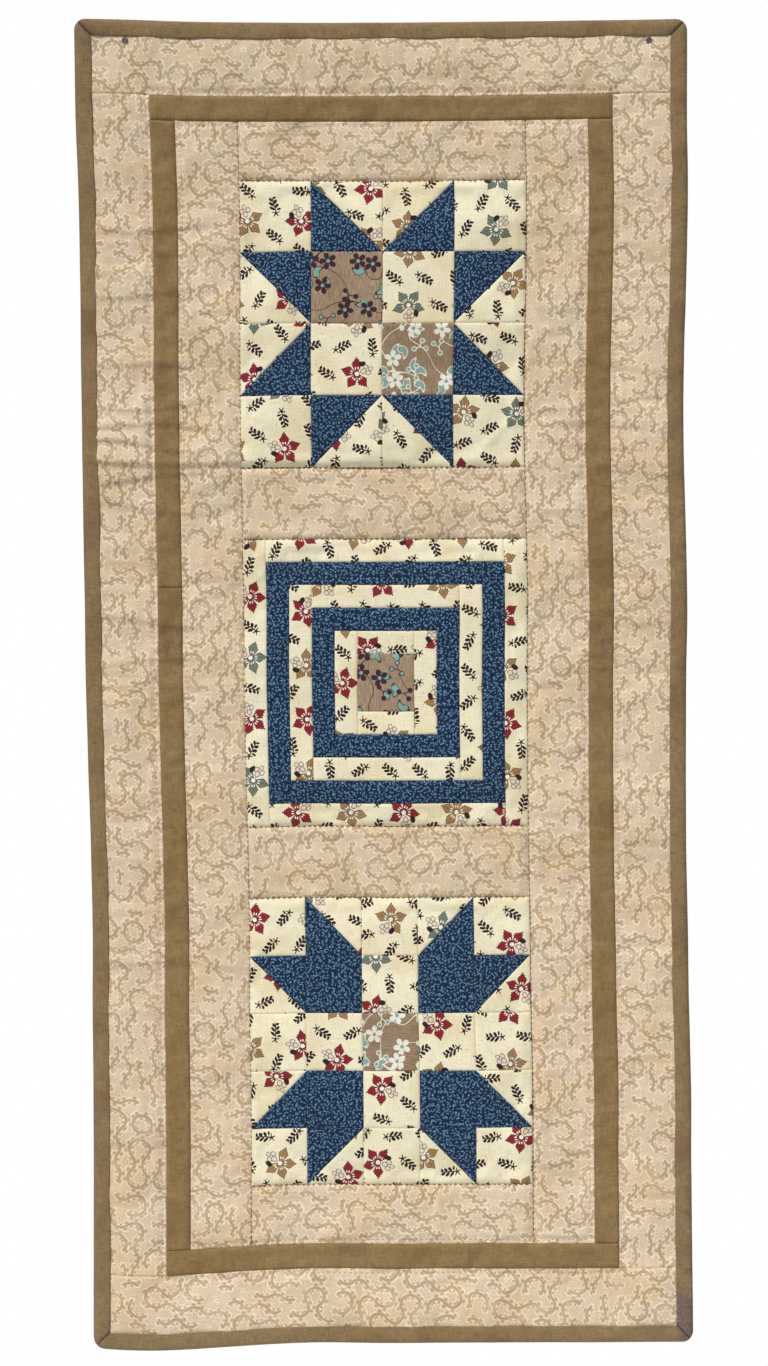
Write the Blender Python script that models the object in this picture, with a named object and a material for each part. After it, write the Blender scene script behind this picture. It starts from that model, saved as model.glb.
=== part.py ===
"""Pieced wall quilt hung flat from two pins, in Blender 4.5, in metres with +Z up.

The origin is in the middle of the quilt, on the wall's plane, which the rear of the binding touches.
The front looks along -Y, the wall is at +Y and +X is to the right as the front is seen. Every layer
is a flat solid: backing, batting, the pieced top, and the binding rolled over the edge of all three.
"""

import math

import bmesh
import bpy
from mathutils import Matrix, Vector

# Widths seen on the front.
BINDING = 0.0095
BORDER = 0.032
FRAME = 0.0138
SASH_SIDE = 0.0347
SASH_END = 0.033
SASH_MIDDLE = 0.0397
BLOCK = 0.160

# How the blocks divide.
STAR_CELLS = 4
ARROW_CELLS = 5
STEPS_CENTRE = 0.032
STEPS_ROUNDS = 5
CORNERS = ("top_left", "top_right", "bottom_right", "bottom_left")
SIDES = ("top", "right", "bottom", "left")
LEFT_SEAM_DROP = 0.314  # from the top edge down to the cross seam in the left frame strip

# Layers, from the wall to the front.
GAP = 0.0003
BACKING_THICK = 0.0006
BATTING_THICK = 0.0032
TOP_THICK = 0.0006
BINDING_THICK = 0.0008
BINDING_ROLL = 0.0026  # solid cloth at the rolled edge, outside the layers
ROLL_STEPS = 8

# Hanging pins.
PIN_INSET = 0.025  # from the side edge
PIN_DROP = 0.0124  # from the top edge
PIN_HEAD_RADIUS = 0.0017
PIN_HEAD_THICK = 0.0008
PIN_SHANK_RADIUS = 0.0006
PIN_TIP_LENGTH = 0.0018
PIN_SIDES = 16

# Worked out from the sizes above.
WIDTH = 2 * (BINDING + BORDER + FRAME + SASH_SIDE) + BLOCK
HEIGHT = 2 * (BINDING + BORDER + FRAME + SASH_END + SASH_MIDDLE) + 3 * BLOCK
LEFT = -WIDTH / 2
TOP = HEIGHT / 2
LOG = (BLOCK - STEPS_CENTRE) / (2 * STEPS_ROUNDS)

BINDING_BACK = 0.0
BACKING_BACK = BINDING_BACK - BINDING_THICK - GAP
BACKING_FRONT = BACKING_BACK - BACKING_THICK
BATTING_BACK = BACKING_FRONT - GAP
BATTING_FRONT = BATTING_BACK - BATTING_THICK
TOP_BACK = BATTING_FRONT - GAP
TOP_FRONT = TOP_BACK - TOP_THICK
BINDING_FRONT = TOP_FRONT - GAP - BINDING_THICK
PIN_WALL_LENGTH = -BINDING_FRONT  # a pin goes as deep into the wall as the quilt stands out from it

LAYER_INSET = BINDING_ROLL + GAP  # from the outer edge to the layers' cut edges

# Colour (linear), roughness, metallic.
FINISHES = {
    "binding_brown": ((0.255, 0.165, 0.078), 0.92, 0.0),
    "frame_brown": ((0.265, 0.172, 0.085), 0.92, 0.0),
    "vine_beige": ((0.72, 0.59, 0.43), 0.90, 0.0),
    "sprig_cream": ((0.82, 0.72, 0.52), 0.90, 0.0),
    "leaf_navy": ((0.022, 0.055, 0.13), 0.88, 0.0),
    "floral_brown": ((0.33, 0.22, 0.13), 0.90, 0.0),
    "backing_cream": ((0.74, 0.66, 0.50), 0.92, 0.0),
    "batting_white": ((0.80, 0.78, 0.72), 0.98, 0.0),
    "pin_steel": ((0.10, 0.09, 0.08), 0.38, 0.9),
}


def clear_scene():
    """Remove every object that the scene starts with."""
    for item in list(bpy.data.objects):
        bpy.data.objects.remove(item, do_unlink=True)


def finish(name):
    """Return the named material, made once."""
    found = bpy.data.materials.get(name)
    if found is not None:
        return found
    colour, roughness, metallic = FINISHES[name]
    material = bpy.data.materials.new(name)
    material.use_nodes = True
    shader = material.node_tree.nodes["Principled BSDF"]
    shader.inputs["Base Color"].default_value = (*colour, 1.0)
    shader.inputs["Roughness"].default_value = roughness
    shader.inputs["Metallic"].default_value = metallic
    material.diffuse_color = (*colour, 1.0)
    return material


def add_object(name, mesh, finish_name):
    """Put a mesh into the scene as one named sub-part."""
    mesh.materials.append(finish(finish_name))
    item = bpy.data.objects.new(name, mesh)
    bpy.context.scene.collection.objects.link(item)
    return item


def mesh_from(name, build):
    """Return a mesh that build has filled, with its faces pointing out."""
    mesh = bpy.data.meshes.new(name)
    bm = bmesh.new()
    build(bm)
    bmesh.ops.recalc_face_normals(bm, faces=bm.faces)
    bm.to_mesh(mesh)
    bm.free()
    return mesh


def shrunk(outline, inset):
    """Move each edge of an (x, z) outline inwards by inset, whichever way round it runs."""
    count = len(outline)
    turn = sum(
        outline[i][0] * outline[(i + 1) % count][1] - outline[(i + 1) % count][0] * outline[i][1]
        for i in range(count)
    )
    side = 1.0 if turn > 0 else -1.0
    corners = []
    for i in range(count):
        before = (Vector(outline[i]) - Vector(outline[i - 1])).normalized()
        after = (Vector(outline[(i + 1) % count]) - Vector(outline[i])).normalized()
        normal_before = side * Vector((-before.y, before.x))
        normal_after = side * Vector((-after.y, after.x))
        bisector = (normal_before + normal_after) / (1.0 + normal_before.dot(normal_after))
        corners.append(Vector(outline[i]) + bisector * inset)
    return corners


def plate(name, outline, y_front, y_back, finish_name, inset=GAP / 2):
    """Make a flat solid whose (x, z) outline is drawn in by inset, so that neighbours keep a gap."""
    corners = shrunk(outline, inset)

    def build(bm):
        face = bm.faces.new([bm.verts.new((x, y_front, z)) for x, z in corners])
        grown = bmesh.ops.extrude_face_region(bm, geom=[face])
        moved = [part for part in grown["geom"] if isinstance(part, bmesh.types.BMVert)]
        bmesh.ops.translate(bm, verts=moved, vec=(0.0, y_back - y_front, 0.0))

    return add_object(name, mesh_from(name, build), finish_name)


def rectangle(left, top, width, height):
    """Return the (x, z) outline of a rectangle from its top left corner."""
    right = left + width
    bottom = top - height
    return [(left, top), (right, top), (right, bottom), (left, bottom)]


def patch(name, outline, finish_name):
    """Make one piece of the pieced top."""
    return plate(name, outline, TOP_FRONT, TOP_BACK, finish_name)


def pin_hole(item, x, z):
    """Drill a pin's hole straight through a layer."""
    radius = PIN_SHANK_RADIUS + GAP
    mesh = mesh_from("pin_hole", lambda bm: add_rod(bm, radius, 2 * BINDING_FRONT, BINDING_BACK))
    cutter = bpy.data.objects.new("pin_hole_cutter", mesh)
    cutter.location = (x, 0.0, z)
    cutter.hide_render = True
    cutter.display_type = "WIRE"
    bpy.context.scene.collection.objects.link(cutter)
    cut = item.modifiers.new("pin hole", "BOOLEAN")
    cut.operation = "DIFFERENCE"
    cut.solver = "EXACT"
    cut.object = cutter


def add_rod(bm, radius, y_front, y_back):
    """Add a closed round rod along Y, from y_front to y_back."""
    middle = (y_front + y_back) / 2
    bmesh.ops.create_cone(
        bm,
        cap_ends=True,
        segments=PIN_SIDES,
        radius1=radius,
        radius2=radius,
        depth=y_back - y_front,
        matrix=Matrix.Translation((0.0, middle, 0.0)) @ Matrix.Rotation(math.pi / 2, 4, "X"),
    )


def pin_places():
    """Return each pin's name and its (x, z) place."""
    x = WIDTH / 2 - PIN_INSET
    z = TOP - PIN_DROP
    return (("hanging_pin_left", -x, z), ("hanging_pin_right", x, z))


def make_pins():
    """Turn each pin, head, shank and point, as one profile spun about its own axis."""
    head_back = TOP_FRONT - GAP
    profile = [
        (0.0, head_back - PIN_HEAD_THICK),
        (0.7 * PIN_HEAD_RADIUS, head_back - PIN_HEAD_THICK),
        (PIN_HEAD_RADIUS, head_back - 0.5 * PIN_HEAD_THICK),
        (PIN_HEAD_RADIUS, head_back),
        (PIN_SHANK_RADIUS, head_back),
        (PIN_SHANK_RADIUS, PIN_WALL_LENGTH - PIN_TIP_LENGTH),
        (0.0, PIN_WALL_LENGTH),
    ]

    def build(bm):
        points = [bm.verts.new((radius, y, 0.0)) for radius, y in profile]
        lines = [bm.edges.new(pair) for pair in zip(points, points[1:])]
        bmesh.ops.spin(
            bm,
            geom=points + lines,
            axis=(0.0, 1.0, 0.0),
            cent=(0.0, 0.0, 0.0),
            steps=PIN_SIDES,
            angle=2 * math.pi,
        )
        bmesh.ops.remove_doubles(bm, verts=bm.verts, dist=1e-6)

    for name, x, z in pin_places():
        pin = add_object(name, mesh_from(name, build), "pin_steel")
        pin.location = (x, 0.0, z)
        pin.data.shade_smooth()
        pin.data.set_sharp_from_angle(angle=math.radians(35))


def make_layers():
    """Make the backing and the batting, each with its two pin holes."""
    outline = rectangle(LEFT, TOP, WIDTH, HEIGHT)
    backing = plate("backing", outline, BACKING_FRONT, BACKING_BACK, "backing_cream", LAYER_INSET)
    batting = plate("batting", outline, BATTING_FRONT, BATTING_BACK, "batting_white", LAYER_INSET)
    for _name, x, z in pin_places():
        pin_hole(backing, x, z)
        pin_hole(batting, x, z)


def binding_section():
    """Return the rolled binding's section as (depth in from the edge, y), a U open to the inside."""
    middle = (BINDING_FRONT + BINDING_BACK) / 2
    radius = (BINDING_BACK - BINDING_FRONT) / 2
    section = [(BINDING, BINDING_FRONT)]
    for step in range(ROLL_STEPS + 1):
        angle = math.pi * step / ROLL_STEPS
        section.append((radius - radius * math.sin(angle), middle - radius * math.cos(angle)))
    section += [
        (BINDING, BINDING_BACK),
        (BINDING, BINDING_BACK - BINDING_THICK),
        (BINDING_ROLL, BINDING_BACK - BINDING_THICK),
        (BINDING_ROLL, BINDING_FRONT + BINDING_THICK),
        (BINDING, BINDING_FRONT + BINDING_THICK),
    ]
    return section


def make_binding():
    """Make the four binding strips, mitred where they meet."""
    setback = GAP / math.sqrt(2)
    for quarter_turns, side in enumerate(SIDES):
        length, across = (WIDTH, HEIGHT) if quarter_turns % 2 == 0 else (HEIGHT, WIDTH)
        turn = Matrix.Rotation(quarter_turns * math.pi / 2, 4, "Y")

        def build(bm):
            rims = []
            for end in (-1.0, 1.0):
                rim = []
                for depth, y in binding_section():
                    place = Vector((end * (length / 2 - depth - setback), y, across / 2 - depth))
                    rim.append(bm.verts.new(turn @ place))
                rims.append(rim)
                bm.faces.new(rim)
            count = len(rims[0])
            for i in range(count):
                j = (i + 1) % count
                bm.faces.new((rims[0][i], rims[0][j], rims[1][j], rims[1][i]))

        name = f"binding_{side}"
        strip = add_object(name, mesh_from(name, build), "binding_brown")
        strip.data.shade_smooth()
        strip.data.set_sharp_from_angle(angle=math.radians(40))


def make_ring_of_strips(prefix, left, top, width, height, strip, finish_name):
    """Make top and bottom strips of the full width, with side strips between them."""
    bottom = top - height
    inner = height - 2 * strip
    made = {
        "top": patch(f"{prefix}_top", rectangle(left, top, width, strip), finish_name),
        "bottom": patch(f"{prefix}_bottom", rectangle(left, bottom + strip, width, strip), finish_name),
    }
    side_x = {"left": left, "right": left + width - strip}
    for side, x in side_x.items():
        made[side] = patch(f"{prefix}_{side}", rectangle(x, top - strip, strip, inner), finish_name)
    return made


def make_border():
    """Make the outer border, whose outer edge lies inside the rolled binding."""
    strip = BINDING + BORDER - LAYER_INSET
    made = make_ring_of_strips(
        "border",
        LEFT + LAYER_INSET,
        TOP - LAYER_INSET,
        WIDTH - 2 * LAYER_INSET,
        HEIGHT - 2 * LAYER_INSET,
        strip,
        "vine_beige",
    )
    for _name, x, z in pin_places():
        pin_hole(made["top"], x, z)


def make_frame():
    """Make the narrow frame; its left strip is pieced from two."""
    edge = BINDING + BORDER
    left = LEFT + edge
    top = TOP - edge
    width = WIDTH - 2 * edge
    height = HEIGHT - 2 * edge
    inner_top = top - FRAME
    inner_bottom = top - height + FRAME
    seam = TOP - LEFT_SEAM_DROP
    right = left + width - FRAME
    patch("frame_top", rectangle(left, top, width, FRAME), "frame_brown")
    patch("frame_bottom", rectangle(left, inner_bottom, width, FRAME), "frame_brown")
    patch("frame_right", rectangle(right, inner_top, FRAME, inner_top - inner_bottom), "frame_brown")
    patch("frame_left_upper", rectangle(left, inner_top, FRAME, inner_top - seam), "frame_brown")
    patch("frame_left_lower", rectangle(left, seam, FRAME, seam - inner_bottom), "frame_brown")


def make_sashes():
    """Make the two long side sashes and the four cross sashes, and return the blocks' top edges."""
    edge = BINDING + BORDER + FRAME
    height = HEIGHT - 2 * edge
    for side, x in (("left", LEFT + edge), ("right", -LEFT - edge - SASH_SIDE)):
        patch(f"sash_{side}", rectangle(x, TOP - edge, SASH_SIDE, height), "vine_beige")
    block_tops = []
    z = TOP - edge
    for number, depth in enumerate((SASH_END, SASH_MIDDLE, SASH_MIDDLE, SASH_END), start=1):
        patch(f"sash_cross_{number}", rectangle(-BLOCK / 2, z, BLOCK, depth), "vine_beige")
        block_tops.append(z - depth)
        z -= depth + BLOCK
    return block_tops[:3]


def grid_outline(cells, block_top, points, quarter_turns):
    """Turn an outline given in cells, across and down from the block's top left, and place it."""
    outline = []
    for across, down in points:
        for _turn in range(quarter_turns):
            across, down = cells - down, across
        size = BLOCK / cells
        outline.append((-BLOCK / 2 + across * size, block_top - down * size))
    return outline


def make_four_quarters(quarter, cells, block_top):
    """Make one quarter's patches four times, turned about the block's middle."""
    for prefix, places, points, finish_name in quarter:
        for turns, place in enumerate(places):
            outline = grid_outline(cells, block_top, points, turns)
            patch(f"{prefix}_{place}", outline, finish_name)


def make_star(block_top):
    """Make the star block: corners, points, the cream triangles between them and the centre."""
    quarter = (
        ("star_corner", CORNERS, [(0, 0), (1, 0), (1, 1), (0, 1)], "sprig_cream"),
        ("star_point_first", SIDES, [(1, 0), (2, 1), (1, 1)], "leaf_navy"),
        ("star_point_second", SIDES, [(3, 0), (3, 1), (2, 1)], "leaf_navy"),
        ("star_between", SIDES, [(1, 0), (3, 0), (2, 1)], "sprig_cream"),
    )
    make_four_quarters(quarter, STAR_CELLS, block_top)
    for name, down in (("upper", 1), ("lower", 2)):
        row = [(1, down), (3, down), (3, down + 1), (1, down + 1)]
        patch(f"star_centre_{name}_pair", grid_outline(STAR_CELLS, block_top, row, 0), "floral_brown")


def make_steps(block_top):
    """Make the courthouse-steps block: a centre square and five rounds of logs, each a joined ring."""
    centre_z = block_top - BLOCK / 2
    half = STEPS_CENTRE / 2
    square = rectangle(-half, centre_z + half, 2 * half, 2 * half)
    patch("steps_centre", square, "floral_brown")
    for number in range(1, STEPS_ROUNDS + 1):
        inner = half + (number - 1) * LOG + GAP / 2
        outer = half + number * LOG - GAP / 2
        name = f"steps_round_{number}"
        mesh = mesh_from(name, lambda bm: add_square_ring(bm, centre_z, inner, outer))
        add_object(name, mesh, "sprig_cream" if number % 2 else "leaf_navy")


def add_square_ring(bm, centre_z, inner, outer):
    """Add a flat square ring of the top's thickness."""
    loops = []
    for half, y in ((outer, TOP_FRONT), (inner, TOP_FRONT), (inner, TOP_BACK), (outer, TOP_BACK)):
        signs = ((-1, 1), (1, 1), (1, -1), (-1, -1))
        loops.append([bm.verts.new((half * sx, y, centre_z + half * sz)) for sx, sz in signs])
    for step in range(4):
        here = loops[step]
        there = loops[(step + 1) % 4]
        for i in range(4):
            j = (i + 1) % 4
            bm.faces.new((here[i], here[j], there[j], there[i]))


def make_arrows(block_top):
    """Make the arrow block: corners, arrowheads, the cream arms between them and the centre."""
    quarter = (
        ("arrow_corner", CORNERS, [(0, 0), (1, 0), (1, 1), (0, 1)], "sprig_cream"),
        ("arrow_head", CORNERS, [(1, 0), (2, 1), (2, 2), (1, 2), (0, 1), (1, 1)], "leaf_navy"),
        ("arrow_arm", SIDES, [(1, 0), (4, 0), (3, 1), (3, 2), (2, 2), (2, 1)], "sprig_cream"),
    )
    make_four_quarters(quarter, ARROW_CELLS, block_top)
    centre = [(2, 2), (3, 2), (3, 3), (2, 3)]
    patch("arrow_centre", grid_outline(ARROW_CELLS, block_top, centre, 0), "floral_brown")


def main():
    """Build the quilt from the wall to the front."""
    clear_scene()
    make_layers()
    make_border()
    make_frame()
    star_top, steps_top, arrow_top = make_sashes()
    make_star(star_top)
    make_steps(steps_top)
    make_arrows(arrow_top)
    make_binding()
    make_pins()


main()
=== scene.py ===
"""A small pieced wall quilt, hung flat by two pins: three blocks in a column, sashes, frame, border, binding.

Every patch is a cloth piece of its own, cut flat, turned under at its seams and laid over a padded
relief that a cloth simulation gives. Lengths are in metres; the prints are drawn in millimetres.
"""

import logging
import math
from dataclasses import dataclass, field
from enum import Enum
from typing import TypeAlias

import bpy
import numpy as np
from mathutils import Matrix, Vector


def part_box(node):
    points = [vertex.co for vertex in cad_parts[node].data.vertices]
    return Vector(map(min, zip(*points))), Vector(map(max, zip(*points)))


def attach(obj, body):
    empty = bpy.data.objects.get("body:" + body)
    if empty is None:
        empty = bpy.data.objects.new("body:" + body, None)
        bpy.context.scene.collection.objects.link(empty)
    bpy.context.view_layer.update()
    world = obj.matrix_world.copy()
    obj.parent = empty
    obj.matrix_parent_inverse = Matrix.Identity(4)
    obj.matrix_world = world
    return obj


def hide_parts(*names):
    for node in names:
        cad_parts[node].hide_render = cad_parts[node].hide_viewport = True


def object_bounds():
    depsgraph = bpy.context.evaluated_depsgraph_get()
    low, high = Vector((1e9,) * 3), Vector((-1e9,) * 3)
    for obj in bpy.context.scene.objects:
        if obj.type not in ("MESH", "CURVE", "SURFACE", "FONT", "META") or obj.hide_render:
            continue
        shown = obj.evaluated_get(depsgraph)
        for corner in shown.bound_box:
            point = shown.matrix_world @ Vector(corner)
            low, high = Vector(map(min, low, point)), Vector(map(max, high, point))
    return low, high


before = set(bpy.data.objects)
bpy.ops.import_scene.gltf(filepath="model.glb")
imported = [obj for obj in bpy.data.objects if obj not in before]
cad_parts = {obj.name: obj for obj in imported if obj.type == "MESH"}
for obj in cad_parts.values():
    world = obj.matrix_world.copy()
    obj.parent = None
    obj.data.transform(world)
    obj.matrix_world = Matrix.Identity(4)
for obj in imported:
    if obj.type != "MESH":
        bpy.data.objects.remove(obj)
CAD_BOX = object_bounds()

LOG = logging.getLogger("quilt")
ROOT = "root"
CLOTH_MAP = "cloth"
WEAR_MAP = "wear"
MM = 0.001
FULL_TURN = 2 * math.pi
STITCH_PITCH = 0.0031
SEAM_GAP = 0.0003  # between the frame's solids
SEAM_ROWS = (0.0013, 0.0005, 0.0)  # rows of points this far inside a patch's edge
DARK_LIFT = 0.00018  # a dark patch lies over its pale neighbours by the seam pressed under it
MIX_COLOUR_A, MIX_COLOUR_B, MIX_COLOUR_OUT = 6, 7, 2
VECTOR_SOCKET, COLOUR_SOCKET, NUMBER_SOCKET = "NodeSocketVector", "NodeSocketColor", "NodeSocketFloat"
Point = tuple[float, float]
Place = tuple[float, float, float]
Edges = tuple[float, float, float, float]  # left, right, top, bottom
Colour = tuple[float, float, float, float]
Numbers = np.ndarray
Tree = bpy.types.NodeTree
Piece = bpy.types.Object
Amount: TypeAlias = "Field | float"


class Cloth(Enum):
    """The cloths and other stuffs of the quilt, each the record's slot of the same name."""

    BINDING = "binding_brown"
    FRAME = "frame_brown"
    VINE = "vine_beige"
    SPRIG = "sprig_cream"
    LEAF = "leaf_navy"
    FLORAL_DARK = "floral_brown dark"
    FLORAL_PALE = "floral_brown pale"
    BACKING = "backing_cloth"
    BATTING = "batting"
    THREAD = "thread"
    STEEL = "pin_steel"

    @property
    def slot(self) -> str:
        """The record's material slot."""
        return self.value.split(" ")[0]


class Side(Enum):
    """The sides of the quilt or of a block, clockwise."""

    TOP = "top"
    RIGHT = "right"
    BOTTOM = "bottom"
    LEFT = "left"

    @property
    def level(self) -> bool:
        """Whether the side runs across."""
        return self in (Side.TOP, Side.BOTTOM)


class Corner(Enum):
    """The corners of a block, clockwise."""

    TOP_LEFT = "top_left"
    TOP_RIGHT = "top_right"
    BOTTOM_RIGHT = "bottom_right"
    BOTTOM_LEFT = "bottom_left"


def rgb(red: int, green: int, blue: int) -> Colour:
    """A display colour from 0 to 255 a channel, as the linear colour that shaders use."""
    linear = [
        c / 255 / 12.92 if c <= 10 else ((c / 255 + 0.055) / 1.055) ** 2.4 for c in (red, green, blue)
    ]
    return (linear[0], linear[1], linear[2], 1.0)


# Drawing with shader nodes


@dataclass(frozen=True)
class Field:
    """A number that changes over the cloth, held by one socket of a node tree."""

    nodes: "NodeBench"
    socket: bpy.types.NodeSocket

    def __add__(self, other: Amount) -> "Field":
        """Sum."""
        return self.nodes.math("ADD", self, other)

    def __radd__(self, other: float) -> "Field":
        """Sum with a plain number first."""
        return self.nodes.math("ADD", other, self)

    def __sub__(self, other: Amount) -> "Field":
        """Difference."""
        return self.nodes.math("SUBTRACT", self, other)

    def __rsub__(self, other: float) -> "Field":
        """Difference from a plain number."""
        return self.nodes.math("SUBTRACT", other, self)

    def __mul__(self, other: Amount) -> "Field":
        """Product."""
        return self.nodes.math("MULTIPLY", self, other)

    def __rmul__(self, other: float) -> "Field":
        """Product with a plain number first."""
        return self.nodes.math("MULTIPLY", other, self)

    def __truediv__(self, other: Amount) -> "Field":
        """Quotient."""
        return self.nodes.math("DIVIDE", self, other)

    def over(self, limit: Amount) -> "Field":
        """One where this is over the limit, else nought."""
        return self.nodes.math("GREATER_THAN", self, limit)

    def under(self, limit: Amount) -> "Field":
        """One where this is under the limit, else nought."""
        return self.nodes.math("LESS_THAN", self, limit)

    def soft_under(self, limit: float, blur: float) -> "Field":
        """One below the limit and nought above it, with a smooth step blur wide."""
        return self.nodes.step(self, limit + blur / 2, limit - blur / 2)

    def one(self, operation: str) -> "Field":
        """An operation that takes one number, such as ABSOLUTE or SINE."""
        return self.nodes.math(operation, self)

    def low(self, other: Amount) -> "Field":
        """The lower of two."""
        return self.nodes.math("MINIMUM", self, other)

    def high(self, other: Amount) -> "Field":
        """The higher of two."""
        return self.nodes.math("MAXIMUM", self, other)


Pair = tuple[Field, Field]


class NodeBench:
    """A node tree with short methods for the nodes that the prints need."""

    def __init__(self, tree: Tree) -> None:
        """Take the tree that the nodes go in."""
        self.tree = tree

    def new(self, kind: str, **values: object) -> bpy.types.Node:
        """Add a node and set its properties."""
        node = self.tree.nodes.new(kind)
        for key, value in values.items():
            setattr(node, key, value)
        return node

    def join(self, value: object, socket: bpy.types.NodeSocket) -> None:
        """Feed a socket from a field, a socket or a plain value."""
        if isinstance(value, Field):
            value = value.socket
        if isinstance(value, bpy.types.NodeSocket):
            self.tree.links.new(value, socket)
        else:
            socket.default_value = value

    def math(self, operation: str, *values: Amount) -> Field:
        """A Math node."""
        node = self.new("ShaderNodeMath", operation=operation)
        for value, socket in zip(values, node.inputs):
            self.join(value, socket)
        return Field(self, node.outputs[0])

    def step(self, value: Field, start: float, end: float, low: float = 0.0, high: float = 1.0) -> Field:
        """A smooth step from low at start to high at end.

        Args:
            value: what is compared.
            start: where the step begins.
            end: where it is done.
            low: the result at start.
            high: the result at end.

        Returns:
            The stepped field.
        """
        node = self.new("ShaderNodeMapRange", interpolation_type="SMOOTHSTEP")
        turned = end < start
        numbers = (end, start, high, low) if turned else (start, end, low, high)
        self.join(value, node.inputs["Value"])
        for name, number in zip(("From Min", "From Max", "To Min", "To Max"), numbers):
            node.inputs[name].default_value = number
        return Field(self, node.outputs["Result"])

    def split(self, vector: object) -> Pair:
        """The first two components of a vector."""
        node = self.new("ShaderNodeSeparateXYZ")
        self.join(vector, node.inputs[0])
        return Field(self, node.outputs[0]), Field(self, node.outputs[1])

    def join_up(self, across: Amount, up: Amount, third: Amount = 0.0) -> Field:
        """A vector from its components."""
        node = self.new("ShaderNodeCombineXYZ")
        for value, socket in zip((across, up, third), node.inputs):
            self.join(value, socket)
        return Field(self, node.outputs[0])

    def noise(self, place: Field, scale: float, detail: float = 0.0, rough: float = 0.5) -> Field:
        """Smooth 2D noise from 0 to 1, with so many features in a unit."""
        node = self.new("ShaderNodeTexNoise", noise_dimensions="2D")
        self.join(place, node.inputs["Vector"])
        node.inputs["Scale"].default_value = scale
        node.inputs["Detail"].default_value = detail
        node.inputs["Roughness"].default_value = rough
        return Field(self, node.outputs["Fac"])

    def chance(self, across: Amount, up: Amount, seed: float) -> Field:
        """A number from 0 to 1 that belongs to a whole-numbered cell."""
        node = self.new("ShaderNodeTexWhiteNoise", noise_dimensions="3D")
        self.join(self.join_up(across, up, seed), node.inputs["Vector"])
        return Field(self, node.outputs["Value"])

    def cells(self, place: Field, scale: float, jitter: float = 1.0) -> tuple[Field, Field, Field]:
        """The nearest of some scattered points.

        Args:
            place: where on the cloth.
            scale: points in a unit of length.
            jitter: how far the points leave their square lattice, from 0 to 1.

        Returns:
            The distance in units of a cell, the point's random colour and its place.
        """
        node = self.new("ShaderNodeTexVoronoi", voronoi_dimensions="2D", feature="F1")
        self.join(place, node.inputs["Vector"])
        node.inputs["Scale"].default_value = scale
        node.inputs["Randomness"].default_value = jitter
        found = [Field(self, node.outputs[name]) for name in ("Distance", "Color", "Position")]
        return found[0], found[1], found[2]

    def turn(self, across: Field, up: Field, angle: Amount) -> Pair:
        """Two coordinates turned by an angle in radians."""
        if isinstance(angle, Field):
            cosine, sine = angle.one("COSINE"), angle.one("SINE")
        else:
            cosine, sine = math.cos(angle), math.sin(angle)
        return across * cosine + up * sine, up * cosine - across * sine

    def oval(self, across: Field, up: Field, middle: Point, radii: Point) -> Field:
        """How far out of an oval a place is: under 1 inside it, 1 on its edge."""
        first = (across - middle[0]) * (1 / radii[0])
        second = (up - middle[1]) * (1 / radii[1])
        return (first * first + second * second).one("SQRT")

    def blend(self, mask: Amount, below: object, above: object, kind: str = "MIX") -> Field:
        """Colour above over colour below, where the mask is one."""
        node = self.new("ShaderNodeMix", data_type="RGBA", blend_type=kind)
        self.join(mask, node.inputs["Factor"])
        self.join(below, node.inputs[MIX_COLOUR_A])
        self.join(above, node.inputs[MIX_COLOUR_B])
        return Field(self, node.outputs[MIX_COLOUR_OUT])

    def use(self, group: Tree, **values: object) -> dict[str, Field]:
        """Place a node group and feed its inputs, whose names have _ for a space.

        Args:
            group: the node group.
            values: a field, socket or plain value for each input that isn't left alone.

        Returns:
            The outputs by name.
        """
        node = self.new("ShaderNodeGroup", node_tree=group)
        for name, value in values.items():
            self.join(value, node.inputs[name.replace("_", " ")])
        return {socket.name: Field(self, socket) for socket in node.outputs}


class GroupBench(NodeBench):
    """A new node group under way, with its named inputs and outputs."""

    def __init__(
        self,
        name: str,
        outputs: tuple[str, ...],
        colours: dict[str, Colour] | None = None,
        numbers: dict[str, float] | None = None,
    ) -> None:
        """Open a group that has a Cloth input.

        Args:
            name: the group's name.
            outputs: its outputs, which are numbers, apart from Color.
            colours: its colour inputs with their usual values.
            numbers: its number inputs with their usual values.
        """
        super().__init__(bpy.data.node_groups.new(name, "ShaderNodeTree"))
        sockets = self.tree.interface
        sockets.new_socket("Cloth", in_out="INPUT", socket_type=VECTOR_SOCKET)
        for kind, usual in ((COLOUR_SOCKET, colours), (NUMBER_SOCKET, numbers)):
            for label, value in (usual or {}).items():
                sockets.new_socket(label, in_out="INPUT", socket_type=kind).default_value = value
        for label in outputs:
            kind = COLOUR_SOCKET if label == "Color" else NUMBER_SOCKET
            sockets.new_socket(label, in_out="OUTPUT", socket_type=kind)
        self.inputs = self.new("NodeGroupInput").outputs
        self.outputs = self.new("NodeGroupOutput").inputs

    def given(self, name: str) -> Field:
        """One of the group's inputs."""
        return Field(self, self.inputs[name])

    def put(self, **values: Field) -> Tree:
        """Feed the group's outputs.

        Args:
            values: a field for each output.

        Returns:
            The finished group.
        """
        for name, value in values.items():
            self.join(value, self.outputs[name])
        return self.tree


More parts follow.
